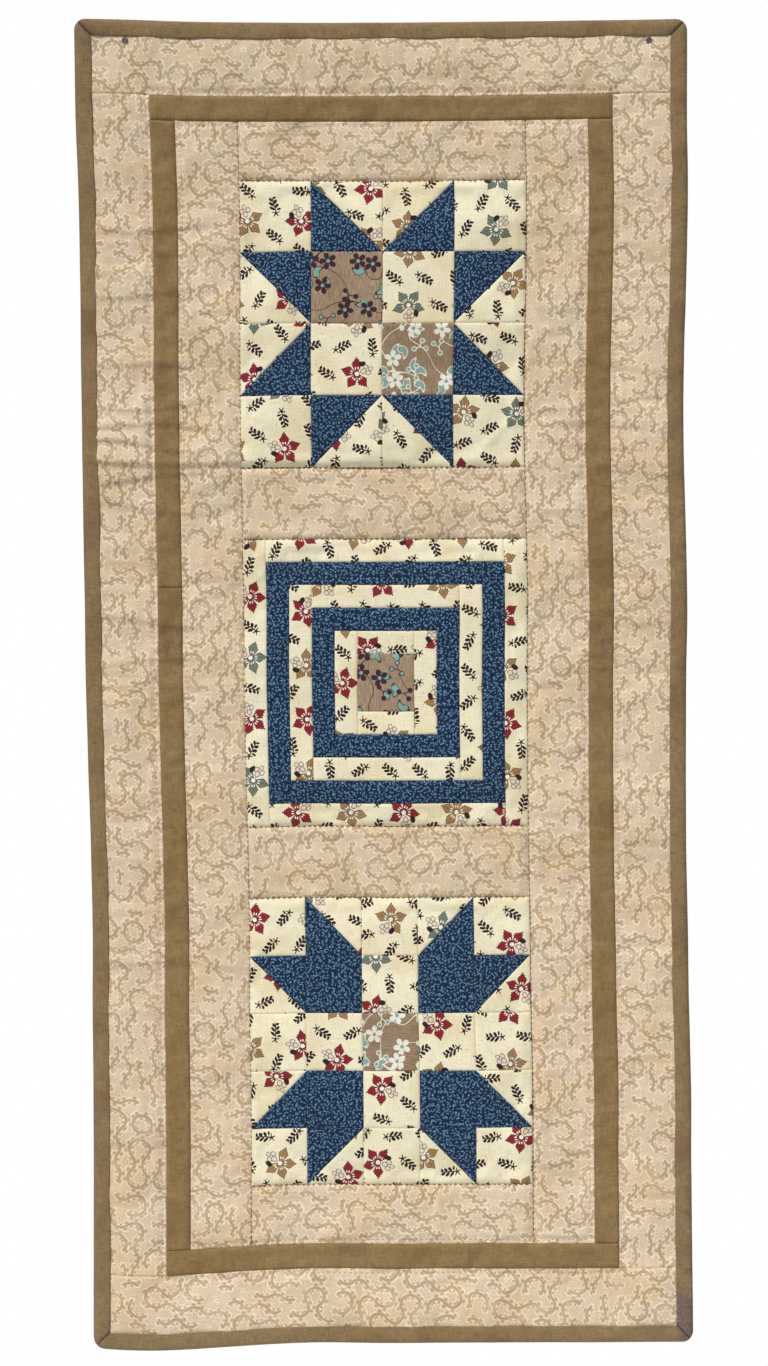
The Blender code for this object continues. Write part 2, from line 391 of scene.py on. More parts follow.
class MaterialBench(NodeBench):
    """A new material under way, with its Principled shader."""

    def __init__(self, name: str) -> None:
        """Open the material.

        Args:
            name: the material's name.
        """
        self.material = bpy.data.materials.new(name)
        self.material.use_nodes = True
        super().__init__(self.material.node_tree)
        self.shader = self.material.node_tree.nodes["Principled BSDF"]

    def feed(self, **values: object) -> None:
        """Feed the shader's inputs, whose names have _ for a space."""
        for name, value in values.items():
            self.join(value, self.shader.inputs[name.replace("_", " ")])

    def grain(self, scale: float, detail: float) -> Field:
        """Noise all through the piece, from its Object coordinates.

        Args:
            scale: features in a metre.
            detail: how many finer layers it has.

        Returns:
            The noise, from 0 to 1.
        """
        node = self.new("ShaderNodeTexNoise")
        self.join(self.new("ShaderNodeTexCoord").outputs["Object"], node.inputs["Vector"])
        node.inputs["Scale"].default_value = scale
        node.inputs["Detail"].default_value = detail
        return Field(self, node.outputs["Fac"])

    def bump(self, height: Field, distance: float, strength: float = 1.0) -> None:
        """Roughen the shader's normal.

        Args:
            height: the relief, from 0 to 1.
            distance: metres from its lowest to its highest.
            strength: how much of it shows.
        """
        node = self.new("ShaderNodeBump")
        node.inputs["Strength"].default_value = strength
        node.inputs["Distance"].default_value = distance
        self.join(height, node.inputs["Height"])
        self.join(node.outputs["Normal"], self.shader.inputs["Normal"])


# Effects that several cloths share. Their Cloth input is in millimetres.


class Effects:
    """The node groups that all cloths share, each built once."""

    def __init__(self) -> None:
        """Build them."""
        self.weave = self.weave_group()
        self.age = self.age_group()

    @staticmethod
    def weave_group() -> Tree:
        """The over and under of a plain weave, with slubs where a yarn is thick. Its Shade output tints the
        slubs and paints the weave's low places darker as painted shade.
        """
        numbers = {"Yarns a mm": 2.4, "Slub": 0.5}
        bench = GroupBench("plain weave", ("Height", "Shade"), numbers=numbers)
        across, up = bench.split(bench.given("Cloth"))
        yarns = bench.given("Yarns a mm") * math.pi
        warp = (across * yarns).one("SINE")
        weft = (up * yarns).one("SINE")
        height = warp * weft * 0.5 + 0.5
        lengthwise = bench.noise(bench.join_up(across * 2.2, up * 0.16), 1.0, 1.0)
        crosswise = bench.noise(bench.join_up(across * 0.14, up * 2.4), 1.0, 1.0)
        slub = (lengthwise + crosswise - 1.0) * bench.given("Slub")
        # the slub term is the yarn's own tone; the height term is painted shade in the weave's low places
        shade = 1.0 + slub * 0.55 + (height - 0.5) * 0.08
        return bench.put(Height=height * 0.45 + slub * 1.1 + 0.3, Shade=shade)

    @staticmethod
    def age_group() -> Tree:
        """What years on a wall do: soft yellowing in clouds, cooler places, and a few fox marks."""
        bench = GroupBench("age", ("Clouds", "Cool", "Specks"), numbers={"Cloud mm": 34.0})
        across, up = bench.split(bench.given("Cloth"))
        size = bench.given("Cloud mm")
        clouds = bench.step(bench.noise(bench.join_up(across / size, up / size), 1.0, 2.0), 0.42, 0.68)
        shifted = bench.join_up(up / size + 7.3, across / size - 3.1)
        cool = bench.step(bench.noise(shifted, 1.25, 2.0), 0.5, 0.7)
        dots, _tint, _point = bench.cells(bench.given("Cloth"), 0.09)
        return bench.put(Clouds=clouds, Cool=cool, Specks=dots.soft_under(0.035, 0.02))


# The prints. Each is a node group that gives the cloth's colour.


@dataclass(frozen=True)
class SprigPrint:
    """Cream shirting: serrated flowers turned at random, and dark sprigs on a staggered lattice between.

    A flower stands at every second column and row, and takes its colour from its place.
    """

    column: float = 15.0
    row: float = 17.0
    ground: Colour = rgb(240, 231, 199)
    plum: Colour = rgb(46, 26, 32)
    gold: Colour = rgb(160, 126, 82)
    red: Colour = rgb(142, 30, 46)
    green: Colour = rgb(112, 124, 110)
    white: Colour = rgb(247, 240, 226)
    blush: Colour = rgb(226, 208, 196)
    petals: int = 5
    flower_scale: float = 0.92
    leaf_pitch: float = 2.5
    ring_buds: tuple[tuple[Point, float], ...] = (
        ((3.7, 0.2), 1.6),
        ((5.7, -1.5), 1.45),
        ((5.5, 1.9), 1.4),
        ((7.6, 0.3), 1.3),
    )

    def flower(self, bench: GroupBench, across: Field, up: Field, below: Field, petal: Field) -> Field:
        """Draw one flower over the colour below it, middle at the origin.

        Args:
            bench: the group under way.
            across: millimetres from the flower's middle.
            up: millimetres from the flower's middle.
            below: the colour under the flower.
            petal: the colour of its petals.

        Returns:
            The colour with the flower on it.
        """
        radius = (across * across + up * up).one("SQRT")
        sector = FULL_TURN / self.petals
        around = bench.math("ARCTAN2", up, across) / sector
        number = (around + 0.5).one("FLOOR")
        angle = (around - number) * sector
        along = radius * angle.one("COSINE")
        aside = (radius * angle.one("SINE")).one("ABSOLUTE")
        teeth = (along * 5.4).one("SINE") * 0.2 * along.over(3.2)
        width = bench.math("SMOOTH_MIN", along * 0.5 + 0.25, (8.6 - along) * 0.74, 0.9) + teeth
        rim = aside - width
        whole = number.one("ABSOLUTE").under(1.5).high(number.under(-1.5)) * radius.under(8.8)
        colour = bench.blend(rim.soft_under(0.0, 0.25) * whole, below, petal)
        outline = (rim + 0.16).one("ABSOLUTE").soft_under(0.2, 0.16) * whole * along.over(1.2)
        colour = bench.blend(outline * 0.75, colour, self.plum)
        vein = aside.soft_under(0.16, 0.14) * along.over(3.9) * along.under(6.4) * whole
        colour = bench.blend(vein * 0.5, colour, self.plum)
        dab = bench.oval(along, aside, (2.9, 0.6), (0.66, 0.34)).soft_under(1.0, 0.4)
        colour = bench.blend(dab * whole, colour, self.white)
        out, left = bench.turn(across, up, 2 * sector)
        cluster = None
        for middle, size in self.ring_buds:
            ring = bench.oval(out, left, middle, (size, size * 0.8))
            inside = ring.soft_under(1.0, 0.2)
            colour = bench.blend(inside * 0.7, colour, self.blush)
            line = (ring - 0.92).one("ABSOLUTE").soft_under(0.14, 0.14)
            cluster = line if cluster is None else cluster.high(line)
        colour = bench.blend(cluster * 0.8, colour, self.plum)
        bud = bench.oval(out, left, (4.3, 3.9), (1.9, 1.25)).soft_under(1.0, 0.25)
        colour = bench.blend(bud, colour, self.plum)
        heart = radius.soft_under(1.5, 0.2)
        colour = bench.blend(heart * 0.8, colour, self.plum)
        return bench.blend(radius.soft_under(1.15, 0.25), colour, self.white)

    def sprig(self, bench: GroupBench, along: Field, aside: Field) -> Field:
        """The mask of one sprig that lies along the first coordinate."""
        bow = aside - (along * 0.42).one("SINE") * 0.5
        tall = bow.one("ABSOLUTE")
        stem = tall.soft_under(0.3, 0.14) * along.one("ABSOLUTE").under(4.9)
        shift = along + bow.over(0.0) * 1.25
        beat = shift - (shift / self.leaf_pitch).one("ROUND") * self.leaf_pitch
        taper = 1.2 - along * 0.08
        lean = beat - (tall - 1.2) * 0.6
        leaf = bench.oval(lean, tall / taper, (0.0, 1.25), (0.97, 1.12)).soft_under(1.02, 0.16)
        leaf = leaf * along.over(-2.4) * along.under(5.2)
        tail = along + 3.9
        spoke = (bench.math("ARCTAN2", bow, tail) * 2.5).one("SINE").one("ABSOLUTE")
        reach = (tail * tail + bow * bow).one("SQRT")
        star = (spoke * reach).soft_under(0.72, 0.2) * reach.under(2.3)
        return stem.high(leaf).high(star)

    def group(self) -> Tree:
        """Build the node group, whose output is Color."""
        bench = GroupBench("sprig print", ("Color",), {"Ground": self.ground})
        cloth = bench.given("Cloth")
        wobble = bench.noise(cloth, 0.45, 1.0) - 0.5
        across, up = bench.split(cloth)
        across = across + wobble * 0.5
        up = up - wobble * 0.5
        column = (across / self.column).one("ROUND")
        odd = (column * 0.5).one("FRACT").one("ABSOLUTE").over(0.25)
        lifted = up + odd * (self.row / 2)
        row = (lifted / self.row).one("ROUND")
        here = bench.chance(column, row, 3.0)
        angle = here * FULL_TURN
        along, aside = bench.turn(across - column * self.column, lifted - row * self.row, angle)
        flower_spot = (1.0 - odd) * (row * 0.5).one("FRACT").under(0.25)
        sprig = self.sprig(bench, along, aside) * (1.0 - flower_spot)
        colour = bench.blend(sprig, bench.given("Ground"), self.plum)
        wide = (across / (2 * self.column)).one("ROUND")
        high = (up / (2 * self.row)).one("ROUND")
        kind = bench.chance(wide, high, 8.0)
        turned = bench.chance(wide, high, 21.0) * FULL_TURN
        alternate = ((wide + high) * 0.5).one("FRACT").over(0.25)
        petal = bench.blend(alternate, self.gold, self.red)
        petal = bench.blend(kind.under(0.16), petal, self.green)
        local = bench.turn(across - wide * (2 * self.column), up - high * (2 * self.row), turned)
        across, up = local[0] * self.flower_scale, local[1] * self.flower_scale
        return bench.put(Color=self.flower(bench, across, up, colour, petal))


@dataclass(frozen=True)
class LeafPrint:
    """Indigo cotton, thick with tiny pale leaf and coral marks that lie every way."""

    ground: Colour = rgb(8, 34, 64)
    pale: Colour = rgb(118, 162, 190)
    smaller: float = 1.2
    scatters: tuple[Point, ...] = ((0.56, 0.0), (0.25, 13.7))  # marks to the millimetre, and a shift

    def marks(self, bench: GroupBench, cloth: Field, scale: float, seed: float) -> Field:
        """One scatter of forked marks, so many to the millimetre."""
        shifted = bench.join_up(bench.split(cloth)[0] + seed, bench.split(cloth)[1] - seed * 0.7)
        _near, tint, point = bench.cells(shifted, scale, 0.85)
        place = bench.split(shifted)
        middle = bench.split(point)
        angle = bench.split(tint)[0] * FULL_TURN
        along, aside = bench.turn(place[0] - middle[0], place[1] - middle[1], angle)
        along, aside = along * self.smaller, aside * self.smaller
        curl = aside - along * along * 0.35
        stem = bench.oval(along, curl, (0.0, 0.0), (0.78, 0.17))
        run, rise = along * 0.6, curl * 0.6
        fork = bench.oval(run + curl * 0.8, rise - along * 0.8, (0.34, 0.0), (0.46, 0.19))
        leaf = bench.oval(run - curl * 0.8, rise + along * 0.8, (-0.36, 0.0), (0.42, 0.2))
        return stem.low(fork).low(leaf).soft_under(1.0, 0.4)

    def group(self) -> Tree:
        """Build the node group, whose output is Color."""
        bench = GroupBench("leaf print", ("Color",), {"Ground": self.ground, "Pale": self.pale})
        cloth = bench.given("Cloth")
        fine, coarse = (self.marks(bench, cloth, scale, seed) for scale, seed in self.scatters)
        ink = fine.high(coarse)
        coral = (bench.noise(cloth, 0.7, 0.5) - 0.5).one("ABSOLUTE").soft_under(0.012, 0.016)
        broken = bench.step(bench.noise(cloth, 0.42, 0.0), 0.58, 0.62)
        ink = ink.high(coral * broken)
        strength = bench.step(bench.noise(cloth, 0.35, 1.0), 0.3, 0.7, 0.55, 1.0)
        return bench.put(Color=bench.blend(ink * strength, bench.given("Ground"), bench.given("Pale")))


@dataclass(frozen=True)
class VinePrint:
    """Beige stippled cotton with a knobby tan vine that wanders, edged by a cream echo line.

    Each square of the layout holds two quarter turns of the vine, so that turns in
    neighbouring squares join into bends and curls. The squares are warped by noise.
    """

    square: float = 10.6
    stroke: float = 0.72
    knob: float = 0.72
    knob_out: float = 1.6
    knobs_a_turn: float = 4.0
    warp: float = 4.4
    tilt: float = 0.62
    broken_rings: float = 0.72
    ground: Colour = rgb(225, 204, 177)
    vine: Colour = rgb(186, 162, 130)
    echo: Colour = rgb(243, 231, 206)
    tea: Colour = rgb(226, 204, 166)
    warm_vine: Colour = rgb(196, 166, 120)

    def warped(self, bench: GroupBench, cloth: Field) -> Pair:
        """Coordinates in squares, turned a little and warped."""
        across, up = bench.split(cloth)
        push = bench.noise(bench.join_up(across + 40.0, up), 0.05, 1.0) - 0.5
        lift = bench.noise(bench.join_up(across, up + 70.0), 0.05, 1.0) - 0.5
        across, up = bench.turn(across + push * self.warp, up + lift * self.warp, self.tilt)
        return across * (1 / self.square), up * (1 / self.square)

    def edge(self, bench: GroupBench, cloth: Field) -> Field:
        """Millimetres from the vine's edge, less than nought inside it."""
        across, up = self.warped(bench, cloth)
        column, row = across.one("FLOOR"), up.one("FLOOR")
        flip = bench.chance(column, row, 3.0).over(0.6)
        across, up = across - column, up - row
        across = across + flip * (1.0 - across * 2.0)
        far = (across + up).over(1.0)
        across, up = across + far * (1.0 - across * 2.0), up + far * (1.0 - up * 2.0)
        radius = (across * across + up * up).one("SQRT")
        off = (radius - 0.5) * self.square
        walked = bench.math("ARCTAN2", up, across) * (self.knobs_a_turn / (math.pi / 2))
        number = walked.one("FLOOR")
        beat = (walked - number - 0.5) * (self.square * math.pi / 4 / self.knobs_a_turn)
        side = (number * math.pi).one("COSINE") * self.knob_out
        knob = (beat * beat + (off - side) * (off - side)).one("SQRT") - self.knob
        turn = bench.math("SMOOTH_MIN", off.one("ABSOLUTE") - self.stroke, knob, 0.4)
        end = self.from_ends(across, up) * self.square - self.stroke * 0.4
        aside = far + flip * (1.0 - far * 2.0)
        gone = self.dropped(bench, column + aside, row + far, aside, far)
        return turn + gone * (end - turn)

    def dropped(self, bench: GroupBench, column: Field, row: Field, aside: Field, above: Field) -> Field:
        """One where a turn is left out: a corner of the squares loses one of the four turns round it."""
        first = bench.chance(column, row, 5.0).over(0.5) - aside
        second = bench.chance(column, row, 9.0).over(0.5) - above
        at_all = bench.chance(column, row, 12.0).under(self.broken_rings)
        return (first.one("ABSOLUTE") + second.one("ABSOLUTE")).under(0.5) * at_all

    def from_ends(self, across: Field, up: Field) -> Field:
        """Squares from the nearer of the two places where a missing turn would have ended."""
        first = (across - 0.5) * (across - 0.5) + up * up
        second = (up - 0.5) * (up - 0.5) + across * across
        return first.low(second).one("SQRT")

    def group(self) -> Tree:
        """Build the node group, whose output is Color."""
        colours = {"Ground": self.ground, "Vine": self.vine, "Echo": self.echo}
        bench = GroupBench("vine print", ("Color",), colours)
        cloth = bench.given("Cloth")
        rim = self.edge(bench, cloth)
        body = rim.soft_under(0.0, 0.3)
        line = (rim - 0.72).one("ABSOLUTE").soft_under(0.26, 0.24)
        stipple = (bench.noise(cloth, 1.3, 1.0) - 0.5).one("ABSOLUTE").soft_under(0.04, 0.05)
        warm = bench.step(bench.noise(cloth, 0.04, 2.0), 0.45, 0.68)
        ground = bench.blend(stipple * 0.52, bench.given("Ground"), bench.given("Vine"))
        ground = bench.blend(warm * 0.4, ground, self.tea)
        colour = bench.blend(line * 0.9, ground, bench.given("Echo"))
        vine = bench.blend(warm * 0.5, bench.given("Vine"), self.warm_vine)
        faded = bench.step(bench.noise(cloth, 0.07, 1.0), 0.3, 0.55, 0.6, 1.0)
        return bench.put(Color=bench.blend(body * faded, colour, vine))


@dataclass(frozen=True)
class FloralPrint:
    """Taupe linen-look cotton with flowers, berries on forked stems and a little teal."""

    pitch: float = 13.0
    leaf_pitch: float = 10.5
    leaf_shift: float = 50.0
    ground: Colour = rgb(172, 149, 122)
    flower: Colour = rgb(62, 38, 46)
    second: Colour = rgb(128, 172, 164)
    streak: Colour = rgb(116, 92, 72)
    berry_spots: tuple[Point, ...] = ((-3.2, 0.2), (2.8, 2.4), (3.0, -2.3))

    def leaves(self, bench: GroupBench, cloth: Field, colour: Field) -> Field:
        """Draw curled leaves of the second colour with a dark edge.

        Args:
            bench: the group under way.
            cloth: millimetres of cloth.
            colour: the colour so far.

        Returns:
            The colour with the leaves on it.
        """
        place = bench.split(cloth)
        shifted = bench.join_up(place[0] + self.leaf_shift, place[1])
        _near, tint, point = bench.cells(shifted, 1 / self.leaf_pitch, 0.8)
        middle, luck = bench.split(point), bench.split(tint)
        from_middle = (place[0] + self.leaf_shift - middle[0], place[1] - middle[1])
        long, wide = bench.turn(from_middle[0], from_middle[1], luck[0] * FULL_TURN)
        curled = wide - long * long * 0.12
        blade = bench.oval(long, curled, (0.0, 0.0), (3.6, 1.5))
        leaf = blade.low(bench.oval(long, curled, (1.2, 1.6), (1.5, 1.2)))
        shown = luck[1].over(0.5)
        colour = bench.blend(leaf.soft_under(1.18, 0.12) * shown, colour, bench.given("Flower"))
        return bench.blend(leaf.soft_under(0.92, 0.12) * shown, colour, bench.given("Second"))

    def sprays(self, bench: GroupBench, cloth: Field, colour: Field) -> Field:
        """Draw a blossom in some cells and berries on a forked twig in the others.

        Args:
            bench: the group under way.
            cloth: millimetres of cloth.
            colour: the colour so far.

        Returns:
            The colour with the flowers and berries on it.
        """
        place = bench.split(cloth)
        _near, tint, point = bench.cells(cloth, 1 / self.pitch, 0.7)
        middle, luck = bench.split(point), bench.split(tint)
        across, up = bench.turn(place[0] - middle[0], place[1] - middle[1], luck[0] * FULL_TURN)
        radius = (across * across + up * up).one("SQRT")
        around = bench.math("ARCTAN2", up, across)
        lobe = bench.math("POWER", (around * 2.5).one("COSINE").one("ABSOLUTE"), 0.6)
        petals = (radius - lobe * 3.9 - 1.0).soft_under(0.0, 0.3)
        blossom = luck[1].over(0.42)
        colour = bench.blend(petals * blossom, colour, bench.given("Flower"))
        colour = bench.blend(radius.soft_under(1.05, 0.25) * blossom, colour, bench.given("Second"))
        berry = None
        for spot in self.berry_spots:
            ball = bench.oval(across, up, spot, (1.45, 1.45))
            berry = ball if berry is None else berry.low(ball)
        twig = up.one("ABSOLUTE").soft_under(0.3, 0.15) * across.over(-2.6) * across.under(0.2)
        forked = (up.one("ABSOLUTE") - across * 0.8).one("ABSOLUTE").soft_under(0.34, 0.15)
        twig = twig.high(forked * across.over(0.0) * across.under(2.6))
        bunch = 1.0 - blossom
        berries = twig.high(berry.soft_under(1.0, 0.2)) * bunch
        colour = bench.blend(berries, colour, bench.given("Flower"))
        inner = berry.soft_under(0.68, 0.2) * luck[0].over(0.5) * bunch
        return bench.blend(inner, colour, bench.given("Second"))

    def group(self) -> Tree:
        """Build the node group, whose output is Color."""
        colours = {"Ground": self.ground, "Flower": self.flower, "Second": self.second}
        bench = GroupBench("floral print", ("Color",), colours)
        cloth = bench.given("Cloth")
        across, up = bench.split(cloth)
        streak = bench.step(bench.noise(bench.join_up(across * 1.6, up * 0.18), 1.0, 2.0), 0.35, 0.66)
        colour = bench.blend(streak * 0.5, bench.given("Ground"), self.streak)
        bend = bench.noise(bench.join_up(across + 31.0, up), 0.055, 0.0)
        stem = (bend - 0.5).one("ABSOLUTE").soft_under(0.009, 0.005)
        colour = bench.blend(stem, colour, bench.given("Flower"))
        colour = self.leaves(bench, cloth, colour)
        return bench.put(Color=self.sprays(bench, cloth, colour))


@dataclass(frozen=True)
class LinenPrint:
    """Solid brown cotton with the streaks and slubs of linen."""

    ground: Colour = rgb(139, 113, 74)
    worn: Colour = rgb(120, 92, 78)
    light: Colour = rgb(168, 142, 98)
    dark: Colour = rgb(104, 80, 52)

    def group(self) -> Tree:
        """Build the node group, whose output is Color."""
        colours = {"Ground": self.ground, "Worn": self.worn, "Light": self.light, "Dark": self.dark}
        bench = GroupBench("linen", ("Color",), colours)
        cloth = bench.given("Cloth")
        across, up = bench.split(cloth)
        fine = bench.noise(bench.join_up(across * 1.9, up * 0.12), 1.0, 2.0)
        cross = bench.noise(bench.join_up(across * 0.1, up * 1.7), 1.0, 2.0)
        yarn = bench.step(fine + cross, 0.75, 1.25)
        colour = bench.blend(yarn * 0.32, bench.given("Ground"), bench.given("Light"))
        mottled = bench.step(bench.noise(cloth, 0.3, 3.0, 0.65), 0.5, 0.64)
        dark = (bench.step(cross, 0.55, 0.66) * 0.36).high(mottled * 0.3)
        colour = bench.blend(dark, colour, bench.given("Dark"))
        patchy = bench.step(bench.noise(cloth, 0.028, 2.0), 0.52, 0.7)
        return bench.put(Color=bench.blend(patchy * 0.55, colour, bench.given("Worn")))


Print = SprigPrint | LeafPrint | VinePrint | FloralPrint | LinenPrint


# Finishes


@dataclass(frozen=True)
class ClothFinish:
    """A printed cotton: its print, how it has aged, its weave and how rough it is."""

    cloth: Cloth
    pattern: Print
    colours: dict[str, Colour] = field(default_factory=dict)
    yellow: Colour = rgb(226, 206, 160)
    yellowing: float = 0.25
    cooling: float = 0.12
    yarns: float = 2.4
    slub: float = 0.5
    bump: float = 0.35
    roughness: float = 0.9
    sheen: float = 0.12
    worn_to: Colour | None = None
    cool: Colour = rgb(214, 214, 222)
    fox_mark: Colour = rgb(120, 84, 56)
    bare_yarn: Colour = rgb(186, 170, 152)

    def material(self, effects: Effects, prints: dict[type, Tree]) -> bpy.types.Material:
        """Make the material.

        Args:
            effects: the shared weave and age groups.
            prints: the print groups made so far, by the class that draws them.

        Returns:
            The material, whose patterns follow the piece's own cloth map.
        """
        bench = MaterialBench(self.cloth.value.replace(" ", "_"))
        scaled = bench.new("ShaderNodeVectorMath", operation="SCALE")
        bench.join(bench.new("ShaderNodeUVMap", uv_map=CLOTH_MAP).outputs[0], scaled.inputs[0])
        scaled.inputs["Scale"].default_value = 1 / MM
        cloth = Field(bench, scaled.outputs[0])
        kind = type(self.pattern)
        if kind not in prints:
            prints[kind] = self.pattern.group()
        printed = bench.use(prints[kind], Cloth=cloth, **self.colours)
        weave = bench.use(effects.weave, Cloth=cloth, Yarns_a_mm=self.yarns, Slub=self.slub)
        age = bench.use(effects.age, Cloth=cloth)
        colour = bench.blend(age["Clouds"] * self.yellowing, printed["Color"], self.yellow, "MULTIPLY")
        colour = bench.blend(age["Cool"] * self.cooling, colour, self.cool, "MULTIPLY")
        colour = bench.blend(age["Specks"] * 0.35, colour, self.fox_mark)
        if self.worn_to:
            colour = self.wear(bench, cloth, colour)
        # the weave's Shade multiplies the colour: slub tone, and painted shade in the weave's low places
        shade = bench.join_up(weave["Shade"], weave["Shade"], weave["Shade"])
        bench.feed(
            Base_Color=bench.blend(1.0, colour, shade, "MULTIPLY"),
            Roughness=self.roughness - weave["Height"] * 0.12,
            Sheen_Weight=self.sheen,
            Sheen_Roughness=0.5,
            Specular_IOR_Level=0.25,
        )
        bench.bump(weave["Height"], 0.25 * MM, self.bump)
        return bench.material

    def wear(self, bench: NodeBench, cloth: Field, colour: Field) -> Field:
        """Rub the colour away where the piece's wear attribute says, with pale flecks of bare yarn.

        Args:
            bench: the material's nodes.
            cloth: millimetres of cloth.
            colour: the colour so far.

        Returns:
            The worn colour.
        """
        worn = Field(bench, bench.new("ShaderNodeAttribute", attribute_name=WEAR_MAP).outputs["Fac"])
        patchy = bench.step(worn + bench.noise(cloth, 0.16, 3.0, 0.6) * 0.9, 0.72, 1.15)
        colour = bench.blend(patchy * 0.8, colour, self.worn_to)
        flecks = bench.step(bench.noise(cloth, 1.1, 2.0, 0.7), 0.6, 0.68)
        return bench.blend(flecks * patchy * 0.55, colour, self.bare_yarn)


@dataclass(frozen=True)
class ThreadFinish:
    """Cotton thread: two plies twisted along the stitch, the crown of each ply painted lighter as a
    highlight.
    """

    colour: Colour = rgb(84, 60, 46)
    # light is a painted highlight along each ply's crown, over the thread's own colour
    light: Colour = rgb(132, 104, 82)
    plies_a_metre: float = 900.0

    def material(self) -> bpy.types.Material:
        """Make the material, which reads Object coordinates."""
        bench = MaterialBench(Cloth.THREAD.value)
        wave = bench.new("ShaderNodeTexWave", wave_type="BANDS", bands_direction="DIAGONAL")
        bench.join(bench.new("ShaderNodeTexCoord").outputs["Object"], wave.inputs["Vector"])
        wave.inputs["Scale"].default_value = self.plies_a_metre
        ply = Field(bench, wave.outputs["Fac"])
        # painted highlight: the ply bands lighten the thread's colour along the twist
        bench.feed(Base_Color=bench.blend(ply, self.colour, self.light), Roughness=0.75)
        bench.bump(ply, 0.06 * MM, 0.5)
        return bench.material


@dataclass(frozen=True)
class BattingFinish:
    """Cotton batting: matted off-white fibre."""

    colour: Colour = rgb(232, 226, 212)
    shade: Colour = rgb(206, 198, 180)

    def material(self) -> bpy.types.Material:
        """Make the material, which reads Object coordinates."""
        bench = MaterialBench(Cloth.BATTING.value)
        fibre = bench.grain(900.0, 4.0)
        bench.feed(Base_Color=bench.blend(fibre, self.colour, self.shade), Roughness=0.95)
        bench.bump(fibre, 0.4 * MM)
        return bench.material


@dataclass(frozen=True)
class SteelFinish:
    """Nickel-plated pin steel, dulled in patches by grime."""

    colour: Colour = rgb(150, 146, 140)
    dull: Colour = rgb(74, 66, 58)

    def material(self) -> bpy.types.Material:
        """Make the material, which reads Object coordinates."""
        bench = MaterialBench(Cloth.STEEL.value)
        grime = bench.grain(1400.0, 3.0)
        bench.feed(
            Base_Color=bench.blend(bench.step(grime, 0.4, 0.7), self.colour, self.dull),
            Roughness=bench.step(grime, 0.3, 0.7, 0.22, 0.5),
            Metallic=0.9,
        )
        bench.bump(grime, 0.05 * MM, 0.2)
        return bench.material


class Wardrobe:
    """Every finish of the quilt, made once and handed to the pieces."""

    def __init__(self) -> None:
        """Make the materials."""
        effects = Effects()
        prints: dict[type, Tree] = {}
        brown = {"Ground": rgb(140, 115, 74), "Worn": rgb(124, 98, 64)}
        edge = {"Ground": rgb(138, 116, 82), "Worn": rgb(128, 100, 74)}
        calico = {
            "Ground": rgb(224, 213, 190),
            "Worn": rgb(216, 202, 174),
            "Light": rgb(234, 226, 208),
            "Dark": rgb(206, 192, 166),
        }
        pale = {"Flower": rgb(236, 234, 220), "Second": rgb(132, 168, 160), "Ground": rgb(160, 138, 112)}
        linen = LinenPrint()
        plum, umber = rgb(102, 85, 79), rgb(110, 84, 60)
        finishes = (
            ClothFinish(Cloth.BINDING, linen, edge, yarns=1.8, slub=0.9, bump=0.6, worn_to=plum),
            ClothFinish(Cloth.FRAME, linen, brown, yarns=1.8, slub=0.8, bump=0.55, worn_to=umber),
            ClothFinish(Cloth.VINE, VinePrint(), yellowing=0.25, cooling=0.1),
            ClothFinish(Cloth.SPRIG, SprigPrint(), yellowing=0.3),
            ClothFinish(Cloth.LEAF, LeafPrint(), yellow=rgb(220, 214, 214), slub=0.3),
            ClothFinish(Cloth.FLORAL_DARK, FloralPrint(), slub=0.7),
            ClothFinish(Cloth.FLORAL_PALE, FloralPrint(), pale, slub=0.7),
            ClothFinish(Cloth.BACKING, linen, calico, slub=0.4),
        )
        self.materials = {finish.cloth: finish.material(effects, prints) for finish in finishes}
        self.materials[Cloth.THREAD] = ThreadFinish().material()
        self.materials[Cloth.BATTING] = BattingFinish().material()
        self.materials[Cloth.STEEL] = SteelFinish().material()

    def dress(self, piece: Piece, cloth: Cloth) -> None:
        """Give a piece its one material."""
        piece.data.materials.clear()
        piece.data.materials.append(self.materials[cloth])
        cloth.slot


# How the quilt lies


@dataclass(frozen=True)
class Lines:
    """The quilt's seam and quilting lines, read from the frame's own boxes."""

    left: float
    right: float
    top: float
    bottom: float
    binding_inner: Edges
    frame_outer: Edges
    frame_inner: Edges
    block_left: float
    block_right: float
    block_tops: Place
    block: float
    front: float
    back: float

    @classmethod
    def read(cls) -> "Lines":
        """Work the lines out from the CAD nodes."""
        low, high = CAD_BOX
        seam = SEAM_GAP / 2
        top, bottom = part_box("frame_top"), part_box("frame_bottom")
        left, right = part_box("sash_left"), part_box("sash_right")
        block_tops = tuple(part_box(f"sash_cross_{number}")[0].z - seam for number in (1, 2, 3))
        return cls(
            left=low[0],
            right=high[0],
            top=high[2],
            bottom=low[2],
            binding_inner=(
                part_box("binding_left")[1].x,
                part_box("binding_right")[0].x,
                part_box("binding_top")[0].z,
                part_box("binding_bottom")[1].z,
            ),
            frame_outer=(top[0].x - seam, top[1].x + seam, top[1].z + seam, bottom[0].z - seam),
            frame_inner=(left[0].x - seam, right[1].x + seam, top[0].z - seam, bottom[1].z + seam),
            block_left=left[1].x - seam,
            block_right=right[0].x - seam,
            block_tops=block_tops,
            block=block_tops[0] - (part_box("sash_cross_2")[1].z + seam),
            front=left[0].y,
            back=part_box("backing")[1].y,
        )

    @property
    def wide(self) -> float:
        """The quilt's width."""
        return self.right - self.left

    @property
    def tall(self) -> float:
        """The quilt's height."""
        return self.top - self.bottom

    def down(self, z: Numbers) -> Numbers:
        """How far down the quilt some levels are: 0 at its top, 1 at its bottom."""
        return (self.top - z) / self.tall


